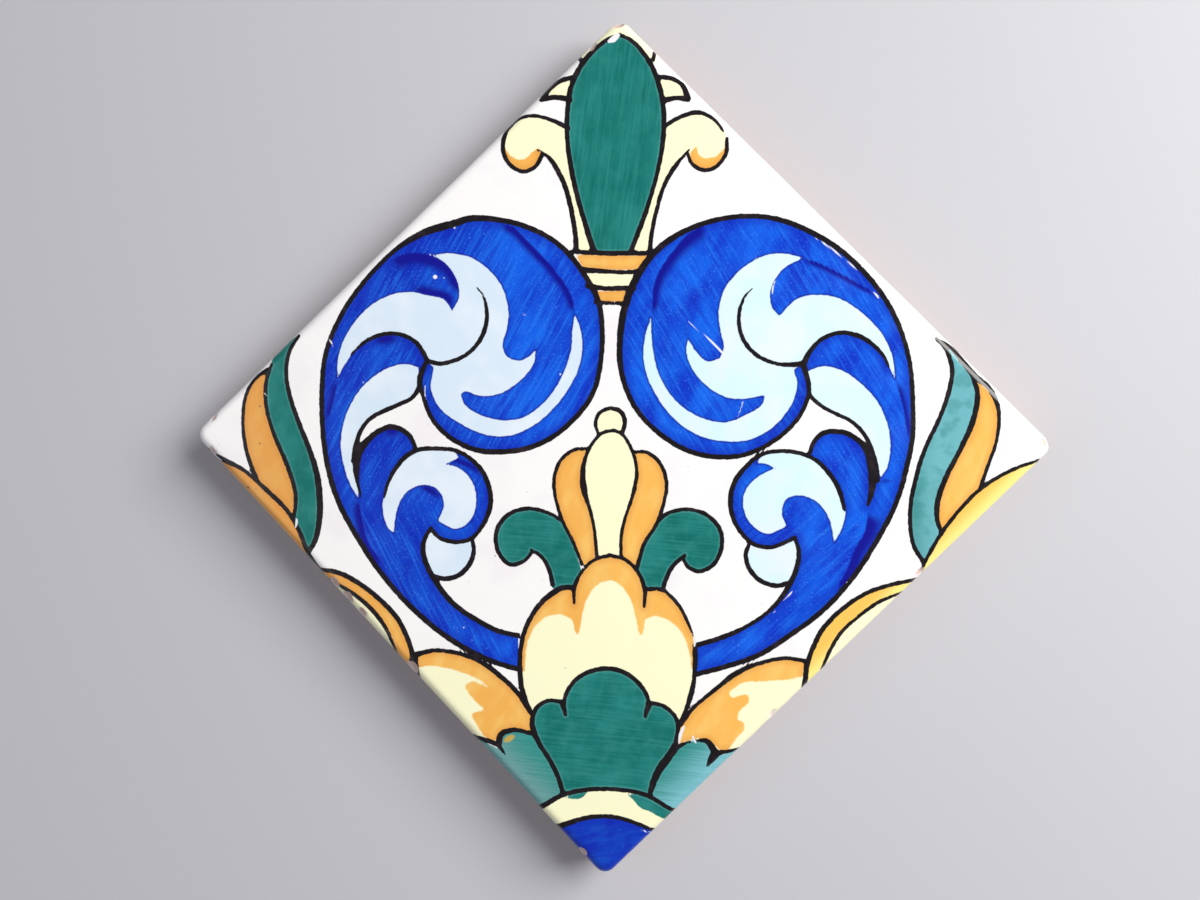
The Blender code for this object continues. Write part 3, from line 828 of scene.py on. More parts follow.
# %% Pale yellow areas
YELLOW = (
    ("left curl",
     ((-11.3, 73.0, 1), (-14.4, 74.4), (-18.7, 75.7), (-22.7, 75.3), (-25.8, 72.3), (-26.5, 67.7),
      (-24.6, 64.1), (-21.5, 62.7), (-18.8, 63.9), (-17.4, 66.8, 1), (-15.7, 66.0), (-13.2, 62.3),
      (-11.3, 57.9), (-9.9, 52.3), (-9.0, 46.8), (-8.9, 44.2, 1), (-4.8, 44.2, 1), (-7.0, 50.8),
      (-8.9, 57.0), (-10.4, 63.2), (-11.5, 70.3))),
    ("right curl",
     ((10.9, 73.2, 1), (13.9, 75.1), (18.7, 76.5), (22.2, 75.1), (24.9, 72.0), (25.6, 68.5),
      (24.9, 65.8), (22.7, 63.7), (20.2, 63.1), (17.5, 64.6), (16.8, 67.4, 1), (13.9, 64.3),
      (11.2, 59.4), (9.5, 53.4), (8.5, 48.0), (8.2, 44.2, 1), (3.8, 44.2, 1), (6.4, 51.3),
      (8.4, 57.7), (10.2, 65.6))),
    ("left bract",
     ((-11.2, 84.0, 1), (-13.6, 83.8), (-16.3, 81.0, 1), (-14.6, 80.2), (-11.4, 79.9, 1))),
    ("right bract",
     ((9.8, 84.4, 1), (13.0, 84.2), (15.6, 82.6), (16.1, 80.0, 1), (11.0, 79.8, 1))),
    ("left corner",
     ((-8.6, 89.0, 1), (-9.6, 91.0), (-4.0, 97.0), (1.0, 99.5, 1), (0.5, 94.6, 1), (-2.1, 93.9),
      (-5.4, 91.5))),
    ("right corner",
     ((0.2, 94.8, 1), (1.0, 100.0, 1), (9.5, 92.0, 1), (8.6, 88.0, 1), (5.9, 90.4), (3.0, 93.4))),
    ("collar", ((-6.2, 39.0, 1), (4.8, 38.9, 1), (3.6, 36.0, 1), (-4.8, 36.2, 1))),
    ("ball",
     ((-2.9, 2.2, 1), (-3.6, 4.6), (-2.6, 7.0), (-0.1, 8.0), (2.2, 7.2), (3.2, 5.0),
      (2.6, 2.3, 1), (0.4, 3.0))),
    ("bulb",
     ((0.4, 3.0), (2.5, 2.2), (4.6, -0.8), (5.8, -4.2), (6.1, -7.3), (5.2, -12.2), (3.6, -17.3),
      (2.8, -21.6), (2.9, -25.9, 1), (-2.7, -25.9, 1), (-3.0, -22.5), (-3.6, -18.6),
      (-4.6, -14.9), (-5.9, -10.9), (-6.3, -7.1), (-5.7, -3.2), (-4.2, -0.1), (-2.2, 2.2))),
    ("flower",
     ((0.3, -25.6), (3.4, -26.3), (6.4, -28.7), (8.4, -32.9, 1), (12.4, -33.2), (16.2, -36.5),
      (18.7, -41.0), (20.0, -45.8), (20.2, -50.0), (19.8, -54.9), (18.6, -59.3), (16.6, -64.3, 1),
      (13.4, -59.5), (9.9, -58.6, 1), (8.0, -55.0), (3.4, -51.8), (-1.7, -51.5), (-6.8, -53.9),
      (-9.4, -58.6, 1), (-13.4, -59.0), (-16.7, -62.4, 1), (-17.9, -60.2), (-19.4, -56.0),
      (-19.9, -50.8), (-19.5, -45.4), (-17.6, -40.1), (-14.3, -35.8), (-10.2, -33.2),
      (-7.7, -33.0, 1), (-6.0, -29.4), (-3.2, -26.7))),
    ("left base petal",
     ((-43.9, -49.4, 1), (-40.0, -48.3), (-34.7, -48.7), (-29.4, -50.4), (-24.5, -53.6),
      (-20.3, -57.4), (-17.0, -62.0, 1), (-16.6, -66.2, 1), (-20.8, -65.8), (-24.2, -67.2, 1),
      (-25.6, -68.9), (-30.5, -68.0, 1), (-37.0, -66.0, 1), (-48.0, -56.0, 1))),
    ("right base petal",
     ((45.2, -48.4, 1), (40.7, -47.9), (35.0, -49.1), (29.8, -51.4), (24.9, -55.3), (20.1, -59.5),
      (17.3, -63.6, 1), (15.9, -68.0, 1), (18.6, -67.4), (21.0, -66.7), (24.2, -67.4),
      (25.6, -69.4, 1), (31.0, -68.6, 1), (37.0, -66.0, 1), (48.0, -56.0, 1), (45.0, -53.6, 1))),
    ("left lower strip",
     ((-65.4, -32.6, 1), (-60.1, -35.2), (-55.2, -38.9), (-51.6, -43.1), (-49.5, -47.6),
      (-49.0, -53.0, 1), (-69.0, -36.0, 1))),
    ("right lower strip",
     ((67.2, -32.4, 1), (61.6, -34.6), (57.0, -38.0), (53.0, -41.8), (50.6, -45.8),
      (48.9, -50.2, 1), (51.0, -54.0, 1), (72.0, -33.0, 1))),
    ("base band",
     ((-15.2, -83.3, 1), (-9.3, -80.1), (-3.4, -78.7), (3.4, -78.5), (9.3, -79.4),
      (17.4, -83.3, 1), (13.0, -89.0, 1), (7.2, -85.8), (2.0, -84.6), (-3.0, -84.9),
      (-7.2, -86.1), (-13.5, -89.0, 1))),
)
print(len(YELLOW), "areas")

# %% [markdown]
# The orange is a second coat over the yellow, on the shaded side of each curl, petal and band.

# %% Orange areas
ORANGE = (
    ("collar upper", ((-9.0, 43.4, 1), (8.0, 43.4, 1), (5.9, 39.9, 1), (-7.0, 39.9, 1))),
    ("collar lower", ((-4.2, 35.0, 1), (3.3, 35.2, 1), (2.5, 32.5, 1), (-3.0, 32.5, 1))),
    ("left curl's tip",
     ((-18.2, 68.3, 1), (-19.5, 67.5), (-20.8, 66.1), (-22.7, 65.4), (-24.7, 66.5),
      (-26.4, 68.8, 1), (-26.2, 65.9), (-24.6, 64.1), (-21.5, 62.7), (-18.8, 63.9),
      (-17.2, 66.6, 1))),
    ("right curl's tip",
     ((25.5, 70.2, 1), (24.6, 67.7), (22.7, 66.2), (20.8, 65.9), (19.4, 66.4), (18.5, 68.6, 1),
      (17.0, 67.2, 1), (17.5, 64.6), (20.2, 63.1), (22.7, 63.7), (25.1, 66.2))),
    ("left petal",
     ((-5.4, -1.4, 1), (-8.2, -1.6), (-11.4, -4.0), (-12.9, -8.4), (-12.4, -13.1), (-10.6, -18.3),
      (-8.1, -23.0), (-6.0, -28.8, 1), (-3.0, -26.6, 1), (-3.0, -22.5), (-3.6, -18.6),
      (-4.6, -14.9), (-5.9, -10.9), (-6.3, -7.1), (-5.7, -3.2))),
    ("right petal",
     ((5.4, -1.9, 1), (8.4, -2.0), (11.5, -4.5), (13.0, -8.9), (12.4, -13.6), (10.7, -18.6),
      (8.2, -22.7), (6.5, -28.6, 1), (3.0, -26.4, 1), (2.8, -21.6), (3.6, -17.3), (5.2, -12.2),
      (6.1, -7.3), (5.8, -4.2))),
    ("flower's rim",
     ((0.3, -25.6), (3.4, -26.3), (6.4, -28.7), (8.4, -33.0, 1), (12.4, -33.2), (16.2, -36.5),
      (18.7, -41.0), (20.3, -45.8), (20.2, -50.9, 1), (19.4, -50.8, 1), (19.0, -47.6),
      (17.1, -42.8), (14.0, -40.0), (10.6, -39.2), (8.8, -40.2), (8.3, -43.0), (7.8, -43.7),
      (7.3, -43.0), (6.5, -39.2), (5.0, -35.0), (2.9, -32.3), (0.2, -31.3), (-2.4, -32.4),
      (-4.6, -35.3), (-5.8, -39.2), (-6.3, -43.2), (-6.9, -43.9), (-7.5, -42.6), (-8.2, -40.4),
      (-10.4, -39.4), (-13.6, -39.7), (-16.6, -42.3), (-18.3, -46.4), (-18.8, -52.6, 1),
      (-19.9, -52.0, 1), (-19.5, -45.4), (-17.6, -40.1), (-14.3, -35.8), (-10.2, -33.2),
      (-7.7, -33.2, 1), (-6.0, -29.4), (-3.2, -26.7))),
    ("left base petal",
     ((-44.0, -49.4, 1), (-40.0, -48.3), (-34.7, -48.7), (-29.4, -50.4), (-24.5, -53.6),
      (-20.3, -57.4), (-17.0, -62.0, 1), (-16.6, -66.2, 1), (-20.8, -65.8), (-24.2, -67.2),
      (-25.4, -68.6, 1), (-27.5, -67.7), (-29.6, -64.9), (-30.8, -62.5), (-28.0, -61.5),
      (-30.2, -59.4), (-32.3, -56.3), (-30.9, -55.0), (-28.9, -55.6), (-27.0, -56.4, 1),
      (-29.4, -54.6), (-33.0, -53.2), (-36.5, -52.3), (-40.0, -51.9), (-43.9, -52.2, 1))),
    ("right base petal",
     ((45.0, -48.4, 1), (40.7, -47.9), (35.0, -49.1), (29.8, -51.4), (24.9, -55.3), (20.1, -59.5),
      (17.3, -63.6, 1), (16.6, -67.9, 1), (18.6, -67.2), (21.0, -66.5), (24.2, -67.2),
      (26.6, -69.2), (28.0, -68.9, 1), (29.8, -66.1), (31.4, -64.3), (31.5, -62.7), (30.0, -61.8),
      (30.6, -59.8), (32.5, -57.9), (32.2, -56.4), (30.6, -56.4), (29.0, -57.0), (28.0, -56.2),
      (29.0, -55.0), (31.4, -53.6), (36.2, -53.2), (41.8, -52.5), (44.8, -51.9, 1))),
    ("left leaf's petal",
     ((-81.0, 15.9, 1), (-83.8, 14.1), (-86.1, 9.8), (-86.6, 3.6), (-85.5, -3.3),
      (-83.4, -9.4, 1), (-78.0, -14.4), (-73.9, -18.5, 1), (-73.5, -13.2), (-75.6, -6.6),
      (-78.5, -0.5), (-80.9, 6.2), (-81.4, 12.4))),
    ("left strip",
     ((-95.0, -3.6, 1), (-91.8, -5.0), (-86.2, -7.6), (-80.5, -12.2), (-75.6, -16.7),
      (-72.3, -21.8), (-69.5, -28.8, 1), (-72.0, -31.0, 1), (-98.0, -5.0, 1))),
    ("left lower strip",
     ((-68.0, -30.3, 1), (-62.9, -31.0), (-58.0, -33.3), (-53.1, -36.8), (-48.9, -40.9),
      (-46.3, -45.5), (-45.2, -49.4), (-45.8, -55.0, 1), (-49.5, -53.0, 1), (-49.5, -47.6),
      (-51.6, -43.1), (-55.2, -38.9), (-60.1, -35.2), (-65.4, -32.6), (-70.0, -33.0, 1))),
    ("right leaf's petal",
     ((82.4, 16.3, 1), (85.4, 13.9), (87.5, 9.0), (87.2, 2.2), (85.0, -4.5), (83.4, -9.3, 1),
      (79.2, -13.6), (75.2, -19.0, 1), (74.1, -15.8), (74.3, -11.5), (76.3, -5.8), (79.2, 0.0),
      (81.9, 6.3), (82.8, 12.4))),
)
print(len(ORANGE), "areas")

# %% [markdown]
# The two bands on the right are paler, almost amber, partly their own colour and partly a painted
# sheen from the light on the right.

# %% Amber areas
AMBER = (
    ("right strip",
     ((97.5, -2.0, 1), (90.3, -4.7), (84.1, -8.6), (79.2, -13.6), (74.7, -19.7), (71.8, -25.1),
      (70.0, -30.0, 1), (74.0, -30.0, 1), (99.0, -4.0, 1))),
    ("right lower strip",
     ((70.0, -29.4, 1), (64.0, -30.8), (58.4, -32.9), (53.1, -36.6), (48.9, -41.1), (46.3, -46.5),
      (45.4, -54.0, 1), (50.0, -54.0, 1), (48.9, -50.2), (50.6, -45.8), (53.0, -41.8),
      (57.0, -38.0), (61.6, -34.6), (67.3, -32.3), (72.0, -31.0, 1))),
)
print(len(AMBER), "areas")

# %% [markdown]
# The green fills the bud, the two curls, the shell and the leaves. It is a glassy copper green,
# thin and bright in some places and nearly black in others.

# %% Green areas
GREEN = (
    ("bud",
     ((0.4, 94.8, 1), (3.0, 93.4), (5.9, 90.4), (8.8, 85.3), (10.6, 78.5), (10.9, 71.9),
      (10.2, 65.6), (8.4, 57.7), (6.4, 51.3), (3.8, 43.9, 1), (-4.8, 43.9, 1), (-7.0, 50.8),
      (-8.9, 57.0), (-10.4, 63.2), (-11.5, 70.3), (-11.6, 76.9), (-10.7, 83.1), (-8.2, 88.2),
      (-5.4, 91.5), (-2.1, 93.9))),
    ("left curl",
     ((-10.4, -18.6, 1), (-13.2, -16.6), (-18.6, -15.3), (-23.4, -16.8), (-26.0, -20.6),
      (-25.6, -25.1), (-22.7, -28.2), (-19.4, -27.3), (-17.8, -24.8, 1), (-15.6, -26.1),
      (-13.7, -29.0), (-12.7, -33.4, 1), (-10.2, -33.4), (-7.8, -33.2, 1), (-6.2, -29.4, 1),
      (-8.1, -23.0))),
    ("right curl",
     ((10.9, -18.2, 1), (13.4, -15.8), (17.6, -14.8), (22.0, -15.8), (25.2, -18.9), (25.9, -22.6),
      (24.1, -27.1), (20.7, -28.8), (18.1, -27.7), (17.4, -25.2, 1), (14.9, -27.6), (13.3, -30.6),
      (12.6, -33.3, 1), (8.7, -33.0, 1), (6.6, -28.2, 1), (8.2, -22.7))),
    ("shell",
     ((-1.7, -51.5), (3.4, -51.8), (8.0, -55.0), (9.9, -58.6, 1), (13.4, -59.5), (16.2, -62.2),
      (16.4, -66.4), (14.6, -70.1), (12.1, -73.7), (10.7, -77.6), (10.4, -79.9, 1), (3.4, -78.5),
      (-3.4, -78.7), (-9.3, -79.8, 1), (-10.6, -76.0), (-12.7, -72.1), (-15.2, -68.4),
      (-16.8, -64.4), (-16.0, -60.9), (-13.4, -59.0), (-9.6, -58.6, 1), (-6.8, -53.9))),
    ("left base leaf",
     ((-31.0, -67.9, 1), (-28.4, -68.6), (-24.2, -70.0), (-24.0, -67.0), (-20.8, -65.8),
      (-16.6, -66.2, 1), (-15.2, -68.4), (-12.7, -72.1), (-10.6, -76.0), (-9.3, -80.1, 1),
      (-14.6, -83.2), (-17.0, -86.0, 1), (-35.0, -68.0, 1))),
    ("right base leaf",
     ((31.5, -68.5, 1), (28.2, -69.4), (24.8, -70.2), (24.0, -67.3), (20.6, -66.7),
      (16.4, -68.4, 1), (14.6, -70.1), (12.1, -73.7), (10.7, -77.6), (10.4, -79.9, 1),
      (16.5, -83.2), (18.0, -86.0, 1), (35.0, -68.0, 1))),
    ("left leaf",
     ((-74.0, 23.9, 1), (-76.0, 20.1), (-76.6, 15.6), (-75.6, 9.9), (-73.3, 3.8), (-70.7, -2.2),
      (-68.7, -7.9), (-67.8, -13.2), (-67.7, -19.0), (-68.6, -23.8), (-70.2, -26.4, 1),
      (-72.3, -21.8), (-73.9, -18.4, 1), (-73.5, -13.2), (-75.6, -6.6), (-78.5, -0.5),
      (-80.9, 6.2), (-81.4, 12.4), (-80.2, 17.2, 1), (-80.0, 22.0, 1))),
    ("right leaf",
     ((73.6, 24.8, 1), (75.6, 22.6), (77.1, 18.0), (76.4, 12.6), (74.2, 6.3), (71.2, -0.4),
      (69.1, -7.6), (68.1, -14.2), (68.8, -21.4), (71.4, -25.4, 1), (75.2, -19.2, 1),
      (74.1, -15.8), (74.3, -11.5), (76.3, -5.8), (79.2, 0.0), (81.9, 6.3), (82.8, 12.4),
      (81.8, 16.2, 1), (79.8, 19.4), (76.8, 23.0))),
    ("smear on the base band",
     ((5.6, -79.6, 1), (9.3, -79.6), (17.0, -83.4, 1), (14.8, -85.4, 1), (12.6, -84.1),
      (10.4, -83.0), (8.4, -82.3), (7.0, -80.8))),
    ("left smear",
     ((-9.0, -80.7, 1), (-6.4, -79.5), (-3.6, -79.0, 1), (-5.4, -80.7), (-7.6, -80.8))),
)
print(len(GREEN), "areas")

# %% [markdown]
# The bottom corner is a patch of the darkest blue.

# %% The blue corner
BLUE_CORNER = (
    ("corner",
     ((-12.5, -88.4, 1), (-7.2, -86.1), (-3.0, -84.9), (2.0, -84.6), (7.2, -85.8),
      (12.5, -88.0, 1), (0.0, -104.0, 1))),
)
print(len(BLUE_CORNER), "areas")

# %% [markdown]
# The blue of a volute fills everything between its outer outline, the upper edge of its stem and
# the underside of its second leaf. Those strokes are drawn already, so the blue area is made
# from them: one stroke is followed out and the others back, until the loop closes.

# %% The blue area of each volute
def stroke(strokes, name):
    """The brush line of one named stroke."""
    return brush_line(next(entry[2] for entry in strokes if entry[0] == name))


def nearest(line, place):
    """The number of the point of a line that is nearest to a place."""
    return int(np.argmin(np.linalg.norm(line - place, axis=1)))


def blue_loop(strokes):
    """The closed loop round the blue of one volute."""
    outer = stroke(strokes, "volute, from its knot round to the stem's foot")
    stem = stroke(strokes, "stem, its upper edge")[::-1]
    curl = stroke(strokes, "small curl")
    lobe = stroke(strokes, "third lobe, its top")
    leaf = stroke(strokes, "second leaf, its underside")
    curl = curl[: nearest(curl, lobe[0])]
    lobe = lobe[: nearest(lobe, leaf[-1])]
    return np.vstack([outer, stem, curl, lobe, leaf[::-1]])


blue = np.minimum(from_loop(blue_loop(INK_LEFT)), from_loop(blue_loop(INK_RIGHT)))
blue = np.minimum(blue, from_areas(BLUE_CORNER))
print("blue covers", round(float((blue < 0).mean()) * 100, 1), "per cent of the points")

# %% [markdown]
# Wet cobalt gathers where the brush slows down, and fires to a deep indigo there. These bands
# start sharply on one side and fade on the other. Each entry gives the line where the colour is
# deepest, the side it fades to (1 is left of the line as it runs, -1 is right, 0 is both), how
# far it reaches at its start and at its end, and how strong it is.

# %% Where the blue gathered
INDIGO = (
    (((-27.0, 51.0), (-23.3, 49.2), (-20.6, 46.5), (-17.5, 43.3), (-14.8, 40.6), (-12.6, 37.9),
      (-10.8, 35.3), (-9.6, 32.6), (-9.0, 29.4)), -1, 2.8, 2.0, 0.9),
    (((-52.9, 41.5), (-48.9, 43.1), (-44.9, 43.2), (-41.3, 42.0), (-38.6, 40.4), (-36.6, 37.1),
      (-35.9, 33.9)), -1, 4.6, 3.0, 1.0),
    (((-47.6, 35.0), (-43.1, 33.9), (-39.2, 32.9), (-37.6, 30.3)), 1, 2.8, 2.6, 0.9),
    (((-64.2, 14.4), (-65.5, 7.9), (-66.6, 3.5)), -1, 2.0, 2.4, 0.7),
    (((-58.8, -13.6), (-57.7, -18.9), (-56.1, -24.3), (-52.1, -29.2)), -1, 2.4, 2.2, 0.9),
    (((-54.2, 1.9), (-51.0, 2.5), (-48.4, 1.6)), 0, 3.0, 3.0, 0.8),
    (((-56.6, 22.6), (-53.0, 23.5), (-49.6, 23.2)), 0, 2.6, 2.6, 0.7),
    (((-45.0, -10.6), (-43.0, -11.0), (-40.4, -12.4), (-39.0, -14.0)), 0, 1.4, 1.2, 0.8),
    (((-38.4, -3.8), (-36.0, -4.5), (-32.4, -5.8), (-29.0, -8.0)), 0, 1.2, 1.4, 0.7),
    (((21.0, 50.8), (17.5, 48.3), (14.8, 45.6), (12.1, 42.0), (10.3, 38.8), (9.4, 35.7),
      (9.2, 32.6), (9.0, 29.4)), 1, 4.8, 1.8, 0.9),
    (((43.1, 42.9), (47.1, 41.5), (51.6, 39.3), (55.6, 37.1), (58.8, 35.3), (60.6, 33.9)),
     -1, 1.8, 1.2, 0.8),
    (((64.4, 15.6), (65.1, 13.7), (66.2, 10.1), (67.1, 5.6), (67.8, 1.3)), 1, 1.6, 2.0, 0.7),
    (((61.0, -7.5), (64.5, -7.5)), 0, 0.8, 0.8, 0.9),
    (((58.8, -14.4), (58.3, -18.9), (56.1, -23.0), (54.3, -27.9), (51.6, -32.4)),
     1, 5.4, 2.6, 0.9),
)
SHARP_SIDE = 0.35  # mm, how far a band reaches on the side where it starts sharply
TAIL = 3.0  # mm over which a band thins out at its two ends


def depth_of_bands(bands):
    """How deep the colour is at every point, from 0 to 1."""
    deep = np.zeros(len(POINTS))
    for places, side, start, end, strength in bands:
        line = brush_line(places)
        rows = near(line, max(start, end) + 1)
        spots = POINTS[rows]
        share = np.zeros(len(rows))
        best = np.full(len(rows), FAR * 3)
        hand = np.zeros(len(rows))
        for index, (a, b) in enumerate(zip(line, line[1:])):
            along = b - a
            part = ((spots - a) @ along / (along @ along)).clip(0, 1)
            gap = np.hypot(*(spots - a - part[:, None] * along).T)
            closer = gap < best
            best = np.where(closer, gap, best)
            share = np.where(closer, (index + part) / (len(line) - 1), share)
            turn = along[0] * (spots[:, 1] - a[1]) - along[1] * (spots[:, 0] - a[0])
            hand = np.where(closer, np.sign(turn), hand)
        reach = start + (end - start) * share
        if side:
            reach = np.where(hand == side, reach, SHARP_SIDE)
        length = np.linalg.norm(np.diff(line, axis=0), axis=1).sum()
        tail = (0.1 + np.minimum(share, 1 - share) * length / TAIL).clip(0, 1)
        value = strength * tail * (1 - (best / reach).clip(0, 1)) ** 1.2
        deep[rows] = np.maximum(deep[rows], value)
    return deep


indigo = depth_of_bands(INDIGO)
print("indigo on", int((indigo > 0.3).sum()), "points")

# %% [markdown]
# Here and there the brush missed a sliver, a bubble burst or somebody scratched the glaze, and
# the white shows. Old dirt has settled in a few pinholes. They are the little things that make
# a tile look handmade, so they are placed one by one, as strokes and dots.

# %% White slivers and scratches
def dot(name, across, up, size, half=0.1):
    """A round mark, drawn as a very short stroke. half is half its length in millimetres."""
    return (name, (size, size), ((across - half, up), (across + half, up)))


BARE = (
    ("long scratch", (0.15, 0.3, 0.45, 0.5),
     ((17.3, 28.2), (19.5, 26.3), (22.5, 23.8), (25.3, 21.0))),
    ("fine scratch", (0.3, 0.2), ((30.2, 10.2), (29.7, 8.4), (29.0, 6.5))),
    ("sliver inside the right rim", (0.2, 0.5, 0.3), ((46.0, 47.6), (49.2, 45.5), (52.4, 43.0))),
    ("second sliver", (0.4, 0.5, 0.2), ((53.2, 42.3), (54.6, 41.1), (55.8, 39.8))),
    ("third sliver", (0.3, 0.5, 0.3), ((59.4, 35.3), (60.1, 34.5), (60.6, 33.6))),
    ("sliver by the hook", (0.2, 0.4, 0.3), ((37.2, 38.0), (36.6, 36.4), (36.4, 34.6))),
    ("short sliver", (0.3, 0.3), ((32.4, 42.6), (33.0, 42.8), (33.6, 42.9))),
    ("gap in the right stem", (0.2, 0.4, 0.25), ((42.1, -32.4), (41.2, -33.8), (40.0, -35.0))),
    ("gap by the right foot", (0.2, 0.2), ((38.2, -37.4), (37.5, -37.8), (36.8, -38.0))),
    ("sliver under the knot", (0.2, 0.3, 0.2), ((-43.5, 12.8), (-43.6, 11.0), (-43.2, 9.5))),
    ("sliver in the left hook", (0.3, 0.3), ((-43.2, 43.2), (-42.0, 42.9), (-41.0, 42.3))),
    ("gap by the shell", (0.5, 0.8, 0.4), ((18.0, -63.8), (17.2, -65.6), (16.9, -67.6))),
    ("gap in the blue corner", (0.4, 0.3), ((8.7, -87.3), (9.6, -87.7), (10.6, -88.0))),
    ("worn line at the left corner", (0.3, 0.45, 0.3),
     ((-94.6, -3.8), (-93.2, -4.6), (-91.6, -5.6))),
    ("nick in the left leaf", (0.5, 0.6, 0.3), ((-73.1, -18.8), (-73.1, -19.8), (-73.3, -20.8))),
    ("nick in the left petal", (0.4, 0.2), ((-81.8, 10.4), (-81.4, 10.0), (-81.0, 9.6))),
    ("nick in the left rim", (0.3, 0.4, 0.2), ((-66.6, 23.4), (-66.0, 22.4), (-65.6, 21.5))),
    ("gap in the flower", (0.5, 0.6, 0.4), ((19.8, -43.6), (20.1, -44.6), (20.0, -45.7))),
    ("gap in the base", (0.4, 0.3), ((19.7, -67.0), (20.2, -66.9), (20.6, -66.9))),
    ("tick over the base", (0.4, 0.5, 0.2), ((20.0, -66.0), (20.3, -66.9), (20.8, -67.5))),
    ("flake at the top corner", (0.8, 1.5, 1.1), ((-2.2, 93.2), (-1.2, 93.7), (-0.2, 94.6))),
    dot("burst bubble", -41.8, 38.0, 1.0, 0.05),
    dot("burst bubble", -39.8, 37.8, 0.4, 0.05),
    dot("burst bubble", -37.4, 49.5, 0.5),
    dot("burst bubble", -20.6, 29.4, 0.5),
    dot("burst bubble", -12.1, 15.7, 0.5),
    ("nick", (0.5, 0.4), ((-58.4, 13.2), (-58.2, 13.2))),
    dot("burst bubble", -33.1, -42.8, 0.45),
    dot("burst bubble", -31.2, -45.6, 0.3),
    dot("burst bubble", -25.1, -46.3, 0.3),
    dot("burst bubble", -5.8, -28.4, 0.6),
    dot("burst bubble", 54.0, -30.5, 0.4),
)
SPECKS = (
    dot("pinhole", 26.8, -9.3, 0.4),
    dot("pinhole", -26.6, -20.0, 0.4),
    dot("pinhole", -26.3, -26.3, 0.4),
    dot("olive spot", -9.4, -51.5, 0.45),
    dot("brown spot", -85.0, -11.6, 0.6),
    dot("brown spot", -83.0, -12.0, 0.5),
    dot("brown spot", -82.7, 7.3, 0.5),
    dot("brown spot", -82.5, -1.4, 0.5),
)
AMBER_BLOB = (
    ("amber blob",
     ((-23.3, -68.5), (-22.6, -67.4), (-21.3, -66.9), (-20.6, -67.2), (-21.3, -68.2),
      (-22.3, -68.7))),
)
bare = from_strokes(BARE)
specks = from_strokes(SPECKS)
print(len(BARE), "bare places and", len(SPECKS), "specks")

# %% [markdown]
# Every distance goes into the mesh as an attribute, one number at each point. The material will
# read them by name. The glaze itself ends a little way down the sides, in runs and bays, and
# below that the clay is bare. That line is one more distance.

# %% Measure every colour
GLAZE_DROP = 2.6  # mm that the glaze covers of the sides, on average
LONG_RUNS = 1.1  # mm that the wide runs and bays add or take
SHORT_RUNS = 0.5  # the same for the narrow ones


def glaze_edge(vert):
    """How far below the face the glaze ends at this point, in millimetres."""
    flat = Vector((vert.co.x, vert.co.y, 0))
    return (
        GLAZE_DROP
        + LONG_RUNS * rough(flat, 11 * MM, 7.0)
        + SHORT_RUNS * rough(flat, 3.5 * MM, 9.0)
    )


def below_the_glaze(vert):
    """How far a point lies below the end of the glaze, in millimetres."""
    return (FACE_HEIGHT - vert.co.z) / MM - glaze_edge(vert)


painting = {
    "ink": from_strokes(INK_LEFT + INK_RIGHT + INK_MID + INK_SIDES),
    "blue": blue,
    "pale_blue": from_areas(PALE),
    "green": from_areas(GREEN),
    "yellow": from_areas(YELLOW),
    "orange": from_areas(ORANGE),
    "amber": from_areas(AMBER),
    "amber_blob": from_areas(AMBER_BLOB),
    "base_leaf": from_areas([area for area in GREEN if "base leaf" in area[0]]),
    "indigo": indigo,
    "bare": bare,
    "specks": specks,
    "unglazed": np.array([below_the_glaze(vert) for vert in blank.verts]),
    "chipped": np.array([vert[broken] for vert in blank.verts]),
}
for name, values in painting.items():
    print(name, "from", round(float(values.min()), 2), "to", round(float(values.max()), 2))

# %% [markdown]
# The mesh is finished, so it becomes an object. It stands for the plain CAD tile, which stays in
# the model for its collisions. The long rows of the sides are smooth as well, and only the
# grooves and the chamfer of the back stay sharp.

# %% Make the tile
tile_mesh = bpy.data.meshes.new("painted_tile")
blank.to_mesh(tile_mesh)
blank.free()
for name, values in painting.items():
    store = tile_mesh.attributes.new(name, "FLOAT", "POINT")
    store.data.foreach_set("value", values.astype(np.float32))
tile_mesh.shade_smooth()
tile_mesh.set_sharp_from_angle(angle=math.radians(40))
tile = bpy.data.objects.new("painted_tile", tile_mesh)
bpy.context.scene.collection.objects.link(tile)
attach(tile, "root")
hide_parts("azulejo_tile")
triangles = sum(len(face.vertices) - 2 for face in tile_mesh.polygons)
print("painted_tile has", triangles, "triangles")

# %% [markdown]
# One material paints the whole tile. It reads the distances and lays the colours over each other
# in the order in which the painter did: white glaze, yellow, amber and orange, green, the blues,
# then the dark outline. A photograph on an image texture would be quicker, but it would bring its
# own light and its own blur. A few small helpers keep the long chain of nodes readable.

# %% Start the material and its helpers
finish = bpy.data.materials.new("painted_glaze_on_clay")
finish.use_nodes = True
nodes = finish.node_tree.nodes
links = finish.node_tree.links
shader = nodes["Principled BSDF"]
place_on_tile = nodes.new("ShaderNodeTexCoord").outputs["Object"]


def linear(red, green, blue_part):
    """A screen colour from 0 to 255 as the linear colour that a shader wants."""
    parts = [value / 255 for value in (red, green, blue_part)]
    return [v / 12.92 if v < 0.04045 else ((v + 0.055) / 1.055) ** 2.4 for v in parts] + [1.0]


def feed(socket, value):
    """Sets a socket to a number or a colour, or joins it to another node's output."""
    if isinstance(value, bpy.types.NodeSocket):
        links.new(value, socket)
    else:
        socket.default_value = value


def measured(name):
    """One of the distances that the mesh keeps."""
    node = nodes.new("ShaderNodeAttribute")
    node.attribute_name = name
    return node.outputs["Fac"]


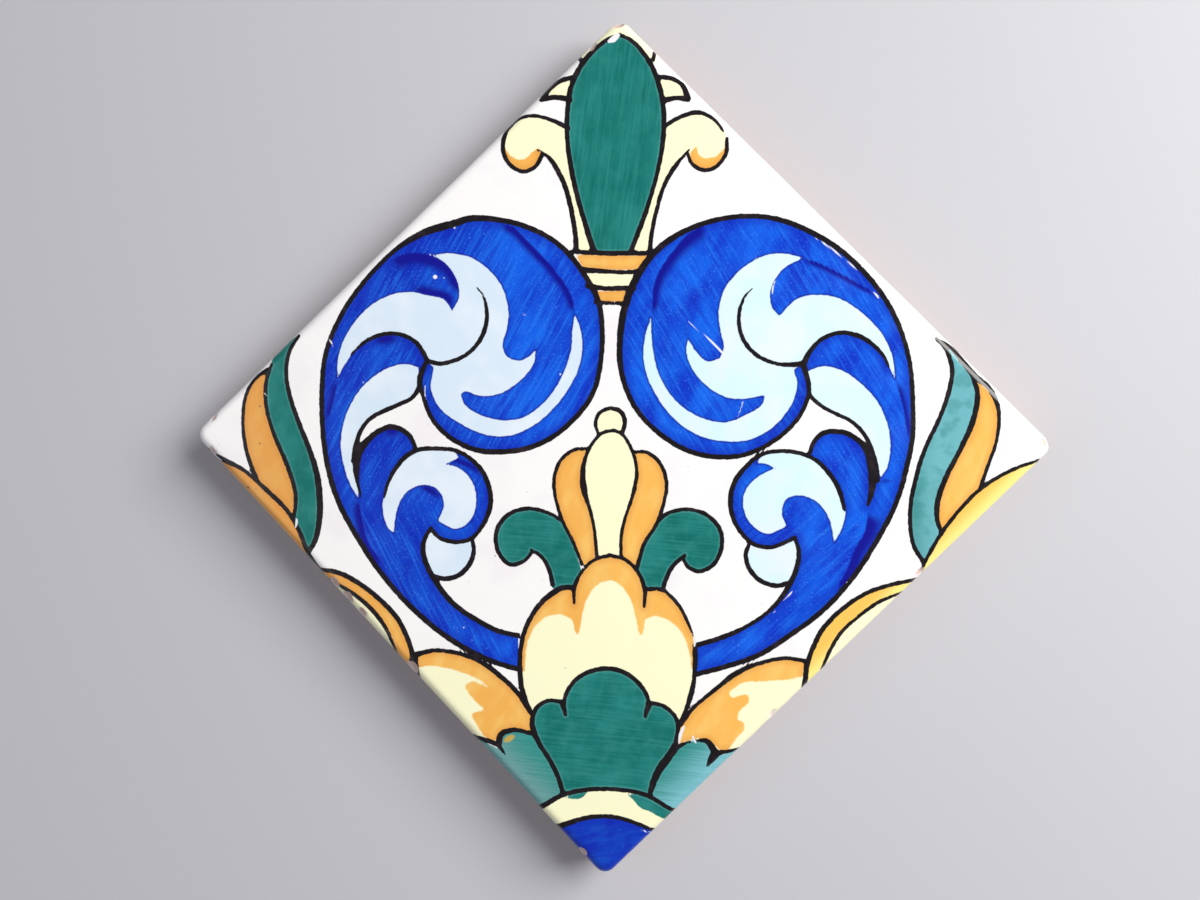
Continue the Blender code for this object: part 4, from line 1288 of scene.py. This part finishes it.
def sum_up(operation, first, second=0.0, third=0.0):
    """One step of arithmetic."""
    node = nodes.new("ShaderNodeMath")
    node.operation = operation
    for socket, value in zip(node.inputs, (first, second, third)):
        feed(socket, value)
    return node.outputs[0]


def times(first, second):
    """Two values multiplied."""
    return sum_up("MULTIPLY", first, second)


def mixed(first, second, share):
    """A number on its way from the first value to the second."""
    node = nodes.new("ShaderNodeMix")
    node.data_type = "FLOAT"
    feed(node.inputs[0], share)
    feed(node.inputs[2], first)
    feed(node.inputs[3], second)
    return node.outputs[0]


def graded(value, start, end, low_end=0.0, high_end=1.0):
    """A smooth step of a value between two marks."""
    node = nodes.new("ShaderNodeMapRange")
    node.interpolation_type = "SMOOTHSTEP"
    for name, number in (
        ("From Min", start),
        ("From Max", end),
        ("To Min", low_end),
        ("To Max", high_end),
    ):
        node.inputs[name].default_value = number
    feed(node.inputs["Value"], value)
    return node.outputs["Result"]


def within(distance, softness, grow=0.0):
    """1 inside an area, 0 outside it, with an edge this soft in millimetres."""
    return graded(distance, grow + softness / 2, grow - softness / 2)


def over(base, colour, share):
    """Lays a colour over what is there."""
    node = nodes.new("ShaderNodeMix")
    node.data_type = "RGBA"
    feed(node.inputs[0], share)
    feed(node.inputs[6], base)
    feed(node.inputs[7], colour)
    return node.outputs[2]


def mottle(length, width=None, angle=0.0, detail=2.0, roughness=0.5, seed=0.0):
    """Noise from 0 to 1 with patches this long and wide in mm, turned in the painter's view."""
    turn = nodes.new("ShaderNodeMapping")
    turn.vector_type = "TEXTURE"
    turn.inputs["Rotation"].default_value = (0, 0, math.radians(angle - 45))
    turn.inputs["Scale"].default_value = (length * MM, (width or length) * MM, length * MM)
    turn.inputs["Location"].default_value = (seed * MM, seed * 2 * MM, 0)
    links.new(place_on_tile, turn.inputs["Vector"])
    node = nodes.new("ShaderNodeTexNoise")
    node.inputs["Scale"].default_value = 1.0
    node.inputs["Detail"].default_value = detail
    node.inputs["Roughness"].default_value = roughness
    links.new(turn.outputs["Vector"], node.inputs["Vector"])
    return node.outputs["Fac"]


print("middle grey in linear light:", [round(v, 3) for v in linear(128, 128, 128)])

# %% [markdown]
# A brush on a thirsty glaze leaves edges that are crisp but not perfect. A fine noise shakes
# every distance by up to a fifth of a millimetre, so that no edge is a clean curve, and a slow
# one moves the soft edge of the orange. Two plain ramps say how far across and how far up a
# place is, as X less Y and as X and Y together, in metres. The left side of the tile is told
# from the right with the first, because the strokes lean the other way there and the painted
# light and shade differ between the two halves.

# %% Shake the edges like a brush
FINE_SHAKE = 0.18  # mm
SLOW_SHAKE = 0.25  # mm
fine_shake = sum_up("MULTIPLY_ADD", mottle(1.1, detail=2.0), 2 * FINE_SHAKE, -FINE_SHAKE)
slow_shake = sum_up(
    "MULTIPLY_ADD", mottle(4.0, detail=1.0, seed=40), 2 * SLOW_SHAKE, -SLOW_SHAKE
)


def shaken(name, amount=1.0):
    """A distance with the brush's unsteadiness."""
    return sum_up("MULTIPLY_ADD", fine_shake, amount, measured(name))


split = nodes.new("ShaderNodeSeparateXYZ")
links.new(place_on_tile, split.inputs[0])
across = sum_up("SUBTRACT", split.outputs["X"], split.outputs["Y"])
up = sum_up("ADD", split.outputs["X"], split.outputs["Y"])
on_right = graded(across, -0.002, 0.002)


def by_side(left, right):
    """One value on the left half of the tile and another on the right."""
    return mixed(left, right, on_right)


def by_side_colour(left, right):
    """One colour on the left half of the tile and another on the right."""
    return over(left, right, on_right)


print("shaking edges by up to", FINE_SHAKE, "mm")

# %% [markdown]
# Tin glaze is a milky white, a little warm, with soft greyish clouds where it is thin. The dirt
# of many years sits in its pinholes.

# %% The white glaze
WHITE = linear(253, 251, 249)
CLOUD = linear(247, 243, 245)
clouds = graded(mottle(16, detail=3.0), 0.45, 0.75)
colour = over(WHITE, CLOUD, clouds)
dust = graded(mottle(0.8, detail=0.0, seed=11), 0.83, 0.88)
colour = over(colour, linear(196, 184, 186), times(dust, 0.4))
print("glaze laid")

# %% [markdown]
# The yellows come first. The amber of the two right bands goes over to pale yellow towards the
# edge of the tile, a painted sheen. The orange lies over the pale yellow in one or two coats,
# with a soft edge that bleeds into it. It is thinner where the brush ran dry, and darker by an
# outline, where it pooled. Painted shade makes it a touch darker on the left half and darker
# again in the far left corner.

# %% Yellow, amber and orange
colour = over(colour, linear(255, 253, 211), within(shaken("yellow"), 0.3, 0.1))
from_middle = sum_up(
    "MAXIMUM", sum_up("ABSOLUTE", split.outputs["X"]), sum_up("ABSOLUTE", split.outputs["Y"])
)
# Painted sheen: the amber pales to yellow towards the right edge of the tile, where the light
# from the right catches the glaze.
amber = over(linear(250, 200, 92), linear(254, 244, 150), graded(from_middle, 0.0655, 0.0703))
colour = over(colour, amber, within(shaken("amber"), 0.4))
orange_edge = sum_up("MULTIPLY_ADD", slow_shake, 0.6, shaken("orange", 1.5))
dry = graded(mottle(8, 3.4, 70, detail=2.0, seed=5), 0.38, 0.72)
# Painted shade: the orange is a touch darker on the left half than on the right.
orange = over(
    by_side_colour(linear(247, 182, 86), linear(251, 188, 90)),
    linear(255, 214, 124),
    times(dry, 0.45),
)
# Painted shade: darker orange in the far left corner, where the light falls off.
painted_shade_far_left = graded(across, -0.076, -0.104)
orange = over(orange, linear(222, 148, 70), times(painted_shade_far_left, 0.55))
pooled = graded(measured("ink"), 1.6, 0.1)
orange = over(orange, linear(216, 138, 60), times(pooled, 0.35))
colour = over(colour, orange, within(orange_edge, 0.5))
print("yellows laid")

# %% [markdown]
# Copper green is a glassy colour. It pools dark in some places and thins to a brighter
# blue-green in others. The right leaf and the foot of the two base leaves get a pale blue-green
# painted sheen, stronger and bluer on the right. It leaves a paler halo just inside the outlines,
# where the dark line drew it in. The hairs of the brush run along the bud, and across the shell
# and the curls.

# %% Green
pool = mottle(9, 5, 80, detail=3.0, seed=3)
green = over(linear(4, 110, 102), linear(30, 128, 122), graded(pool, 0.3, 0.75))
in_the_bud = graded(up, 0.05, 0.06)


def by_height(above, under):
    """One value in the bud at the top and another below it."""
    return mixed(under, above, in_the_bud)


brushed = by_height(
    mottle(9, 0.5, 84, detail=2.0, seed=9), mottle(10, 0.45, -4, detail=2.0, seed=19)
)
inner = graded(sum_up("ABSOLUTE", across), 0.092, 0.080, 0.15, 1.0)
bright_hairs = times(graded(brushed, 0.42, 0.75, 0.0, 0.42), inner)
dark_hairs = times(graded(brushed, 0.46, 0.28, 0.0, 0.32), inner)
green = over(green, linear(50, 142, 136), bright_hairs)
green = over(green, linear(0, 92, 84), dark_hairs)
blotches = graded(mottle(3.2, detail=4.0, seed=83), 0.42, 0.72)
blotches = times(blotches, by_height(0.12, 0.3))
green = over(green, linear(62, 150, 142), blotches)
halo = graded(measured("ink"), 0.5, 0.15)
green = over(green, linear(96, 168, 164), times(halo, 0.3))
in_base_leaf = within(measured("base_leaf"), 0.8, 0.4)
green = over(green, linear(62, 156, 148), times(in_base_leaf, 0.6))
# Painted sheen: the base leaves turn pale blue-green towards the edge of the tile, more strongly
# and bluer on the right.
base_leaf_sheen = graded(sum_up("ADD", from_middle, times(brushed, 0.006)), 0.063, 0.0745)
base_leaf_sheen = times(base_leaf_sheen, times(in_base_leaf, by_side(0.75, 1.0)))
green = over(green, by_side_colour(linear(134, 170, 172), linear(134, 200, 212)), base_leaf_sheen)
# Painted sheen on the right leaf, broken up by soft clouds.
leaf_clouds = graded(mottle(3.6, detail=4.0, seed=71), 0.42, 0.64)
right_leaf_sheen = sum_up("MULTIPLY_ADD", leaf_clouds, -0.35, 0.95)
right_leaf_sheen = times(graded(across, 0.088, 0.104), right_leaf_sheen)
green = over(green, linear(112, 184, 192), right_leaf_sheen)
colour = over(colour, green, within(shaken("green"), 0.25, 0.1))
colour = over(colour, linear(196, 168, 84), within(shaken("amber_blob"), 0.3))
print("green laid")

# %% [markdown]
# Cobalt blue shows every hair of the brush. Long streaks follow the hand, which leans one way on
# the left volute and the other way on the right, and turns again down the stems and in the
# bottom corner. The blue is darker on the far left, a painted shade, and thicker along the
# outlines. The deep indigo lies over it, and a fine dark line runs round the pale leaves, where
# the wet blue stopped.

# %% The blues
head_streaks = by_side(
    mottle(9, 0.6, 62, detail=3.0, seed=21), mottle(9, 0.6, 122, detail=3.0, seed=33)
)
stem_streaks = by_side(
    mottle(11, 0.7, 118, detail=3.0, seed=27), mottle(11, 0.7, 42, detail=3.0, seed=38)
)
corner_streaks = mottle(6, 1.0, 10, detail=3.0, seed=61)
streaks = mixed(head_streaks, stem_streaks, graded(up, -0.014, -0.030))
streaks = mixed(streaks, corner_streaks, graded(up, -0.100, -0.114))
washes = mottle(13, 6, 70, detail=2.0, seed=44)
# Painted light: the pale blue is greyer on the left half and brighter and more cyan on the right.
pale = over(
    by_side_colour(linear(219, 235, 249), linear(217, 245, 251)),
    linear(232, 243, 252),
    graded(mottle(9, detail=2.0, seed=8), 0.35, 0.75),
)
cobalt = over(linear(0, 52, 198), linear(6, 96, 232), graded(washes, 0.3, 0.7))
# Painted shade: the cobalt darkens towards the far left of the tile.
painted_shade_left = graded(across, -0.026, -0.066)
cobalt = over(cobalt, linear(0, 36, 178), times(painted_shade_left, 0.55))
cobalt = over(cobalt, linear(32, 126, 246), times(graded(streaks, 0.46, 0.70), 0.45))
cobalt = over(cobalt, linear(2, 34, 172), times(graded(streaks, 0.46, 0.28), 0.38))
salt = graded(mottle(0.45, detail=1.0, seed=71), 0.6, 0.76)
cobalt = over(cobalt, linear(76, 148, 246), times(salt, 0.4))
in_the_corner = graded(up, -0.112, -0.120)
cobalt = over(cobalt, linear(2, 26, 160), times(in_the_corner, 0.6))
by_the_outline = graded(measured("ink"), 2.4, 0.0)
cobalt = over(cobalt, linear(2, 30, 176), times(by_the_outline, 0.5))
deep = sum_up("ADD", measured("indigo"), sum_up("MULTIPLY_ADD", streaks, 0.3, -0.15))
cobalt = over(cobalt, linear(4, 8, 146), graded(deep, 0.0, 0.65))
inside_pale = within(shaken("pale_blue"), 0.28)
drawn_rim = graded(shaken("pale_blue"), 0.6, 0.1)
cobalt = over(cobalt, linear(8, 14, 140), times(drawn_rim, 0.75))
colour = over(colour, cobalt, within(shaken("blue"), 0.25, 0.1))
colour = over(colour, pale, inside_pale)
print("blues laid")

# %% [markdown]
# The outline is manganese, almost black and a little warm. It was laid last, so it covers the
# colours. The bare places and the specks come after it.

# %% Outline, bare places and specks
outline = over(linear(20, 14, 18), linear(44, 34, 40), graded(mottle(2.5, seed=17), 0.5, 0.8))
colour = over(colour, outline, within(shaken("ink"), 0.16))
colour = over(colour, linear(240, 240, 244), within(measured("bare"), 0.2))
colour = over(colour, linear(90, 74, 64), times(within(measured("specks"), 0.25), 0.8))
print("outline laid")

# %% [markdown]
# Nobody paints the sides. The painting stops on the roll of the arris, and only white glaze runs
# on down, thin and a little brown in patches. Under the glaze the body is a porous, pink
# terracotta. It shows in the chips, on the sides below the runs of glaze and on the back. Each
# chip has a thin pale rim, where the broken glaze is seen edge on.

# %% The bare clay
def down_the_side(start, end):
    """Goes from 0 to 1 between two depths below the face, in millimetres."""
    return graded(split.outputs["Z"], FACE_HEIGHT - start * MM, FACE_HEIGHT - end * MM)


grit = mottle(0.5, detail=4.0, seed=2)
colour = over(colour, WHITE, down_the_side(1.2, 1.9))
thin_rim = down_the_side(1.0, 1.6)
rim_patches = graded(mottle(3, detail=3.0, seed=26), 0.45, 0.65)
thin_rim = times(thin_rim, times(rim_patches, 0.6))
colour = over(colour, linear(232, 196, 176), thin_rim)
clay_patches = graded(mottle(5, detail=5.0, seed=6), 0.3, 0.75)
clay = over(linear(208, 166, 146), linear(222, 188, 170), clay_patches)
clay = over(clay, linear(150, 104, 90), times(graded(grit, 0.62, 0.75), 0.5))
chip_seen = sum_up("MULTIPLY_ADD", fine_shake, 1.4, measured("chipped"))
chipped = graded(chip_seen, 0.34, 0.52)
broken_rim = graded(chip_seen, 0.0, 0.14)
colour = over(colour, linear(238, 224, 222), times(broken_rim, 0.7))
unglazed = graded(sum_up("MULTIPLY_ADD", fine_shake, 2.0, measured("unglazed")), -0.05, 0.12)
bare_clay = sum_up("MAXIMUM", chipped, unglazed)
pale_clay = over(clay, linear(240, 220, 212), times(chipped, 0.5))
colour = over(colour, pale_clay, bare_clay)
links.new(colour, shader.inputs["Base Color"])
print("clay laid")

# %% [markdown]
# Glaze is glossy, clay is dull, so the roughness follows the same mask. The gloss is worn a
# little on the face. The bump gives the glaze its faint orange-peel skin and the clay its grain.

# %% Gloss and skin
GLAZE_ROUGHNESS = (0.16, 0.26)  # fresh and worn
CLAY_ROUGHNESS = 0.85
worn = graded(mottle(12, detail=5.0, seed=14), 0.4, 0.75, *GLAZE_ROUGHNESS)
links.new(mixed(worn, CLAY_ROUGHNESS, bare_clay), shader.inputs["Roughness"])
shader.inputs["IOR"].default_value = 1.5
PEEL_HEIGHT = 0.012  # mm
GRAIN_HEIGHT = 0.12  # mm
peel = times(mottle(1.6, detail=2.0, seed=51), PEEL_HEIGHT)
grain = times(grit, GRAIN_HEIGHT)
bump = nodes.new("ShaderNodeBump")
bump.inputs["Strength"].default_value = 1.0
bump.inputs["Distance"].default_value = MM
links.new(mixed(peel, grain, bare_clay), bump.inputs["Height"])
links.new(bump.outputs["Normal"], shader.inputs["Normal"])
tile_mesh.materials.append(finish)
print("material has", len(nodes), "nodes")

# %% [markdown]
# The tile lies on a plain pale table top, which is only there to catch its shadow.

# %% A pale table top
TABLE_HALF = 1.5
TABLE_GAP = 0.1 * MM  # keeps the table top clear of the tile's back
top = bmesh.new()
bmesh.ops.create_grid(top, x_segments=1, y_segments=1, size=TABLE_HALF)
bmesh.ops.translate(top, verts=top.verts, vec=(0, 0, -TABLE_GAP))
floor_mesh = bpy.data.meshes.new("table_top")
top.to_mesh(floor_mesh)
top.free()
floor = bpy.data.objects.new("table_top", floor_mesh)
bpy.context.scene.collection.objects.link(floor)
paint = bpy.data.materials.new("pale_table_top")
paint.use_nodes = True
lacquer = paint.node_tree.nodes["Principled BSDF"]
lacquer.inputs["Base Color"].default_value = linear(196, 196, 200)
lacquer.inputs["Roughness"].default_value = 0.7
floor_mesh.materials.append(paint)
print("table top", [round(v, 2) for v in floor.dimensions])

# %% [markdown]
# The light is a soft window half a metre wide, high on the right, which throws a short shadow to
# the left and puts a pale sheen on the glaze. A weaker and cooler one fills in from the left.
# The sky is an even, slightly cool grey, and the standard view keeps the glaze as bright as it
# was fired.

# %% Window light
def window(name, place, size, power, tint):
    """A soft square light that looks at the middle of the face."""
    lamp = bpy.data.lights.new(name, "AREA")
    lamp.shape = "SQUARE"
    lamp.size = size
    lamp.energy = power
    lamp.color = tint
    holder = bpy.data.objects.new(name, lamp)
    spot = on_tile(*place)
    aim = (on_tile(0, 0) - spot).to_track_quat("-Z", "Y")
    holder.matrix_world = Matrix.Translation(spot) @ aim.to_matrix().to_4x4()
    bpy.context.scene.collection.objects.link(holder)
    print(name, "at", [round(v, 2) for v in spot], power, "W")


window("window_right", (600, 265, 560), 0.56, 10.3, (1.0, 0.99, 0.97))
window("fill_left", (-700, -100, 700), 0.8, 1.3, (0.92, 0.94, 1.0))
sky = bpy.data.worlds.new("soft_room")
sky.use_nodes = True
air = sky.node_tree.nodes["Background"]
air.inputs["Color"].default_value = linear(236, 236, 246)
air.inputs["Strength"].default_value = 0.24
bpy.context.scene.world = sky
bpy.context.scene.view_settings.view_transform = "Standard"
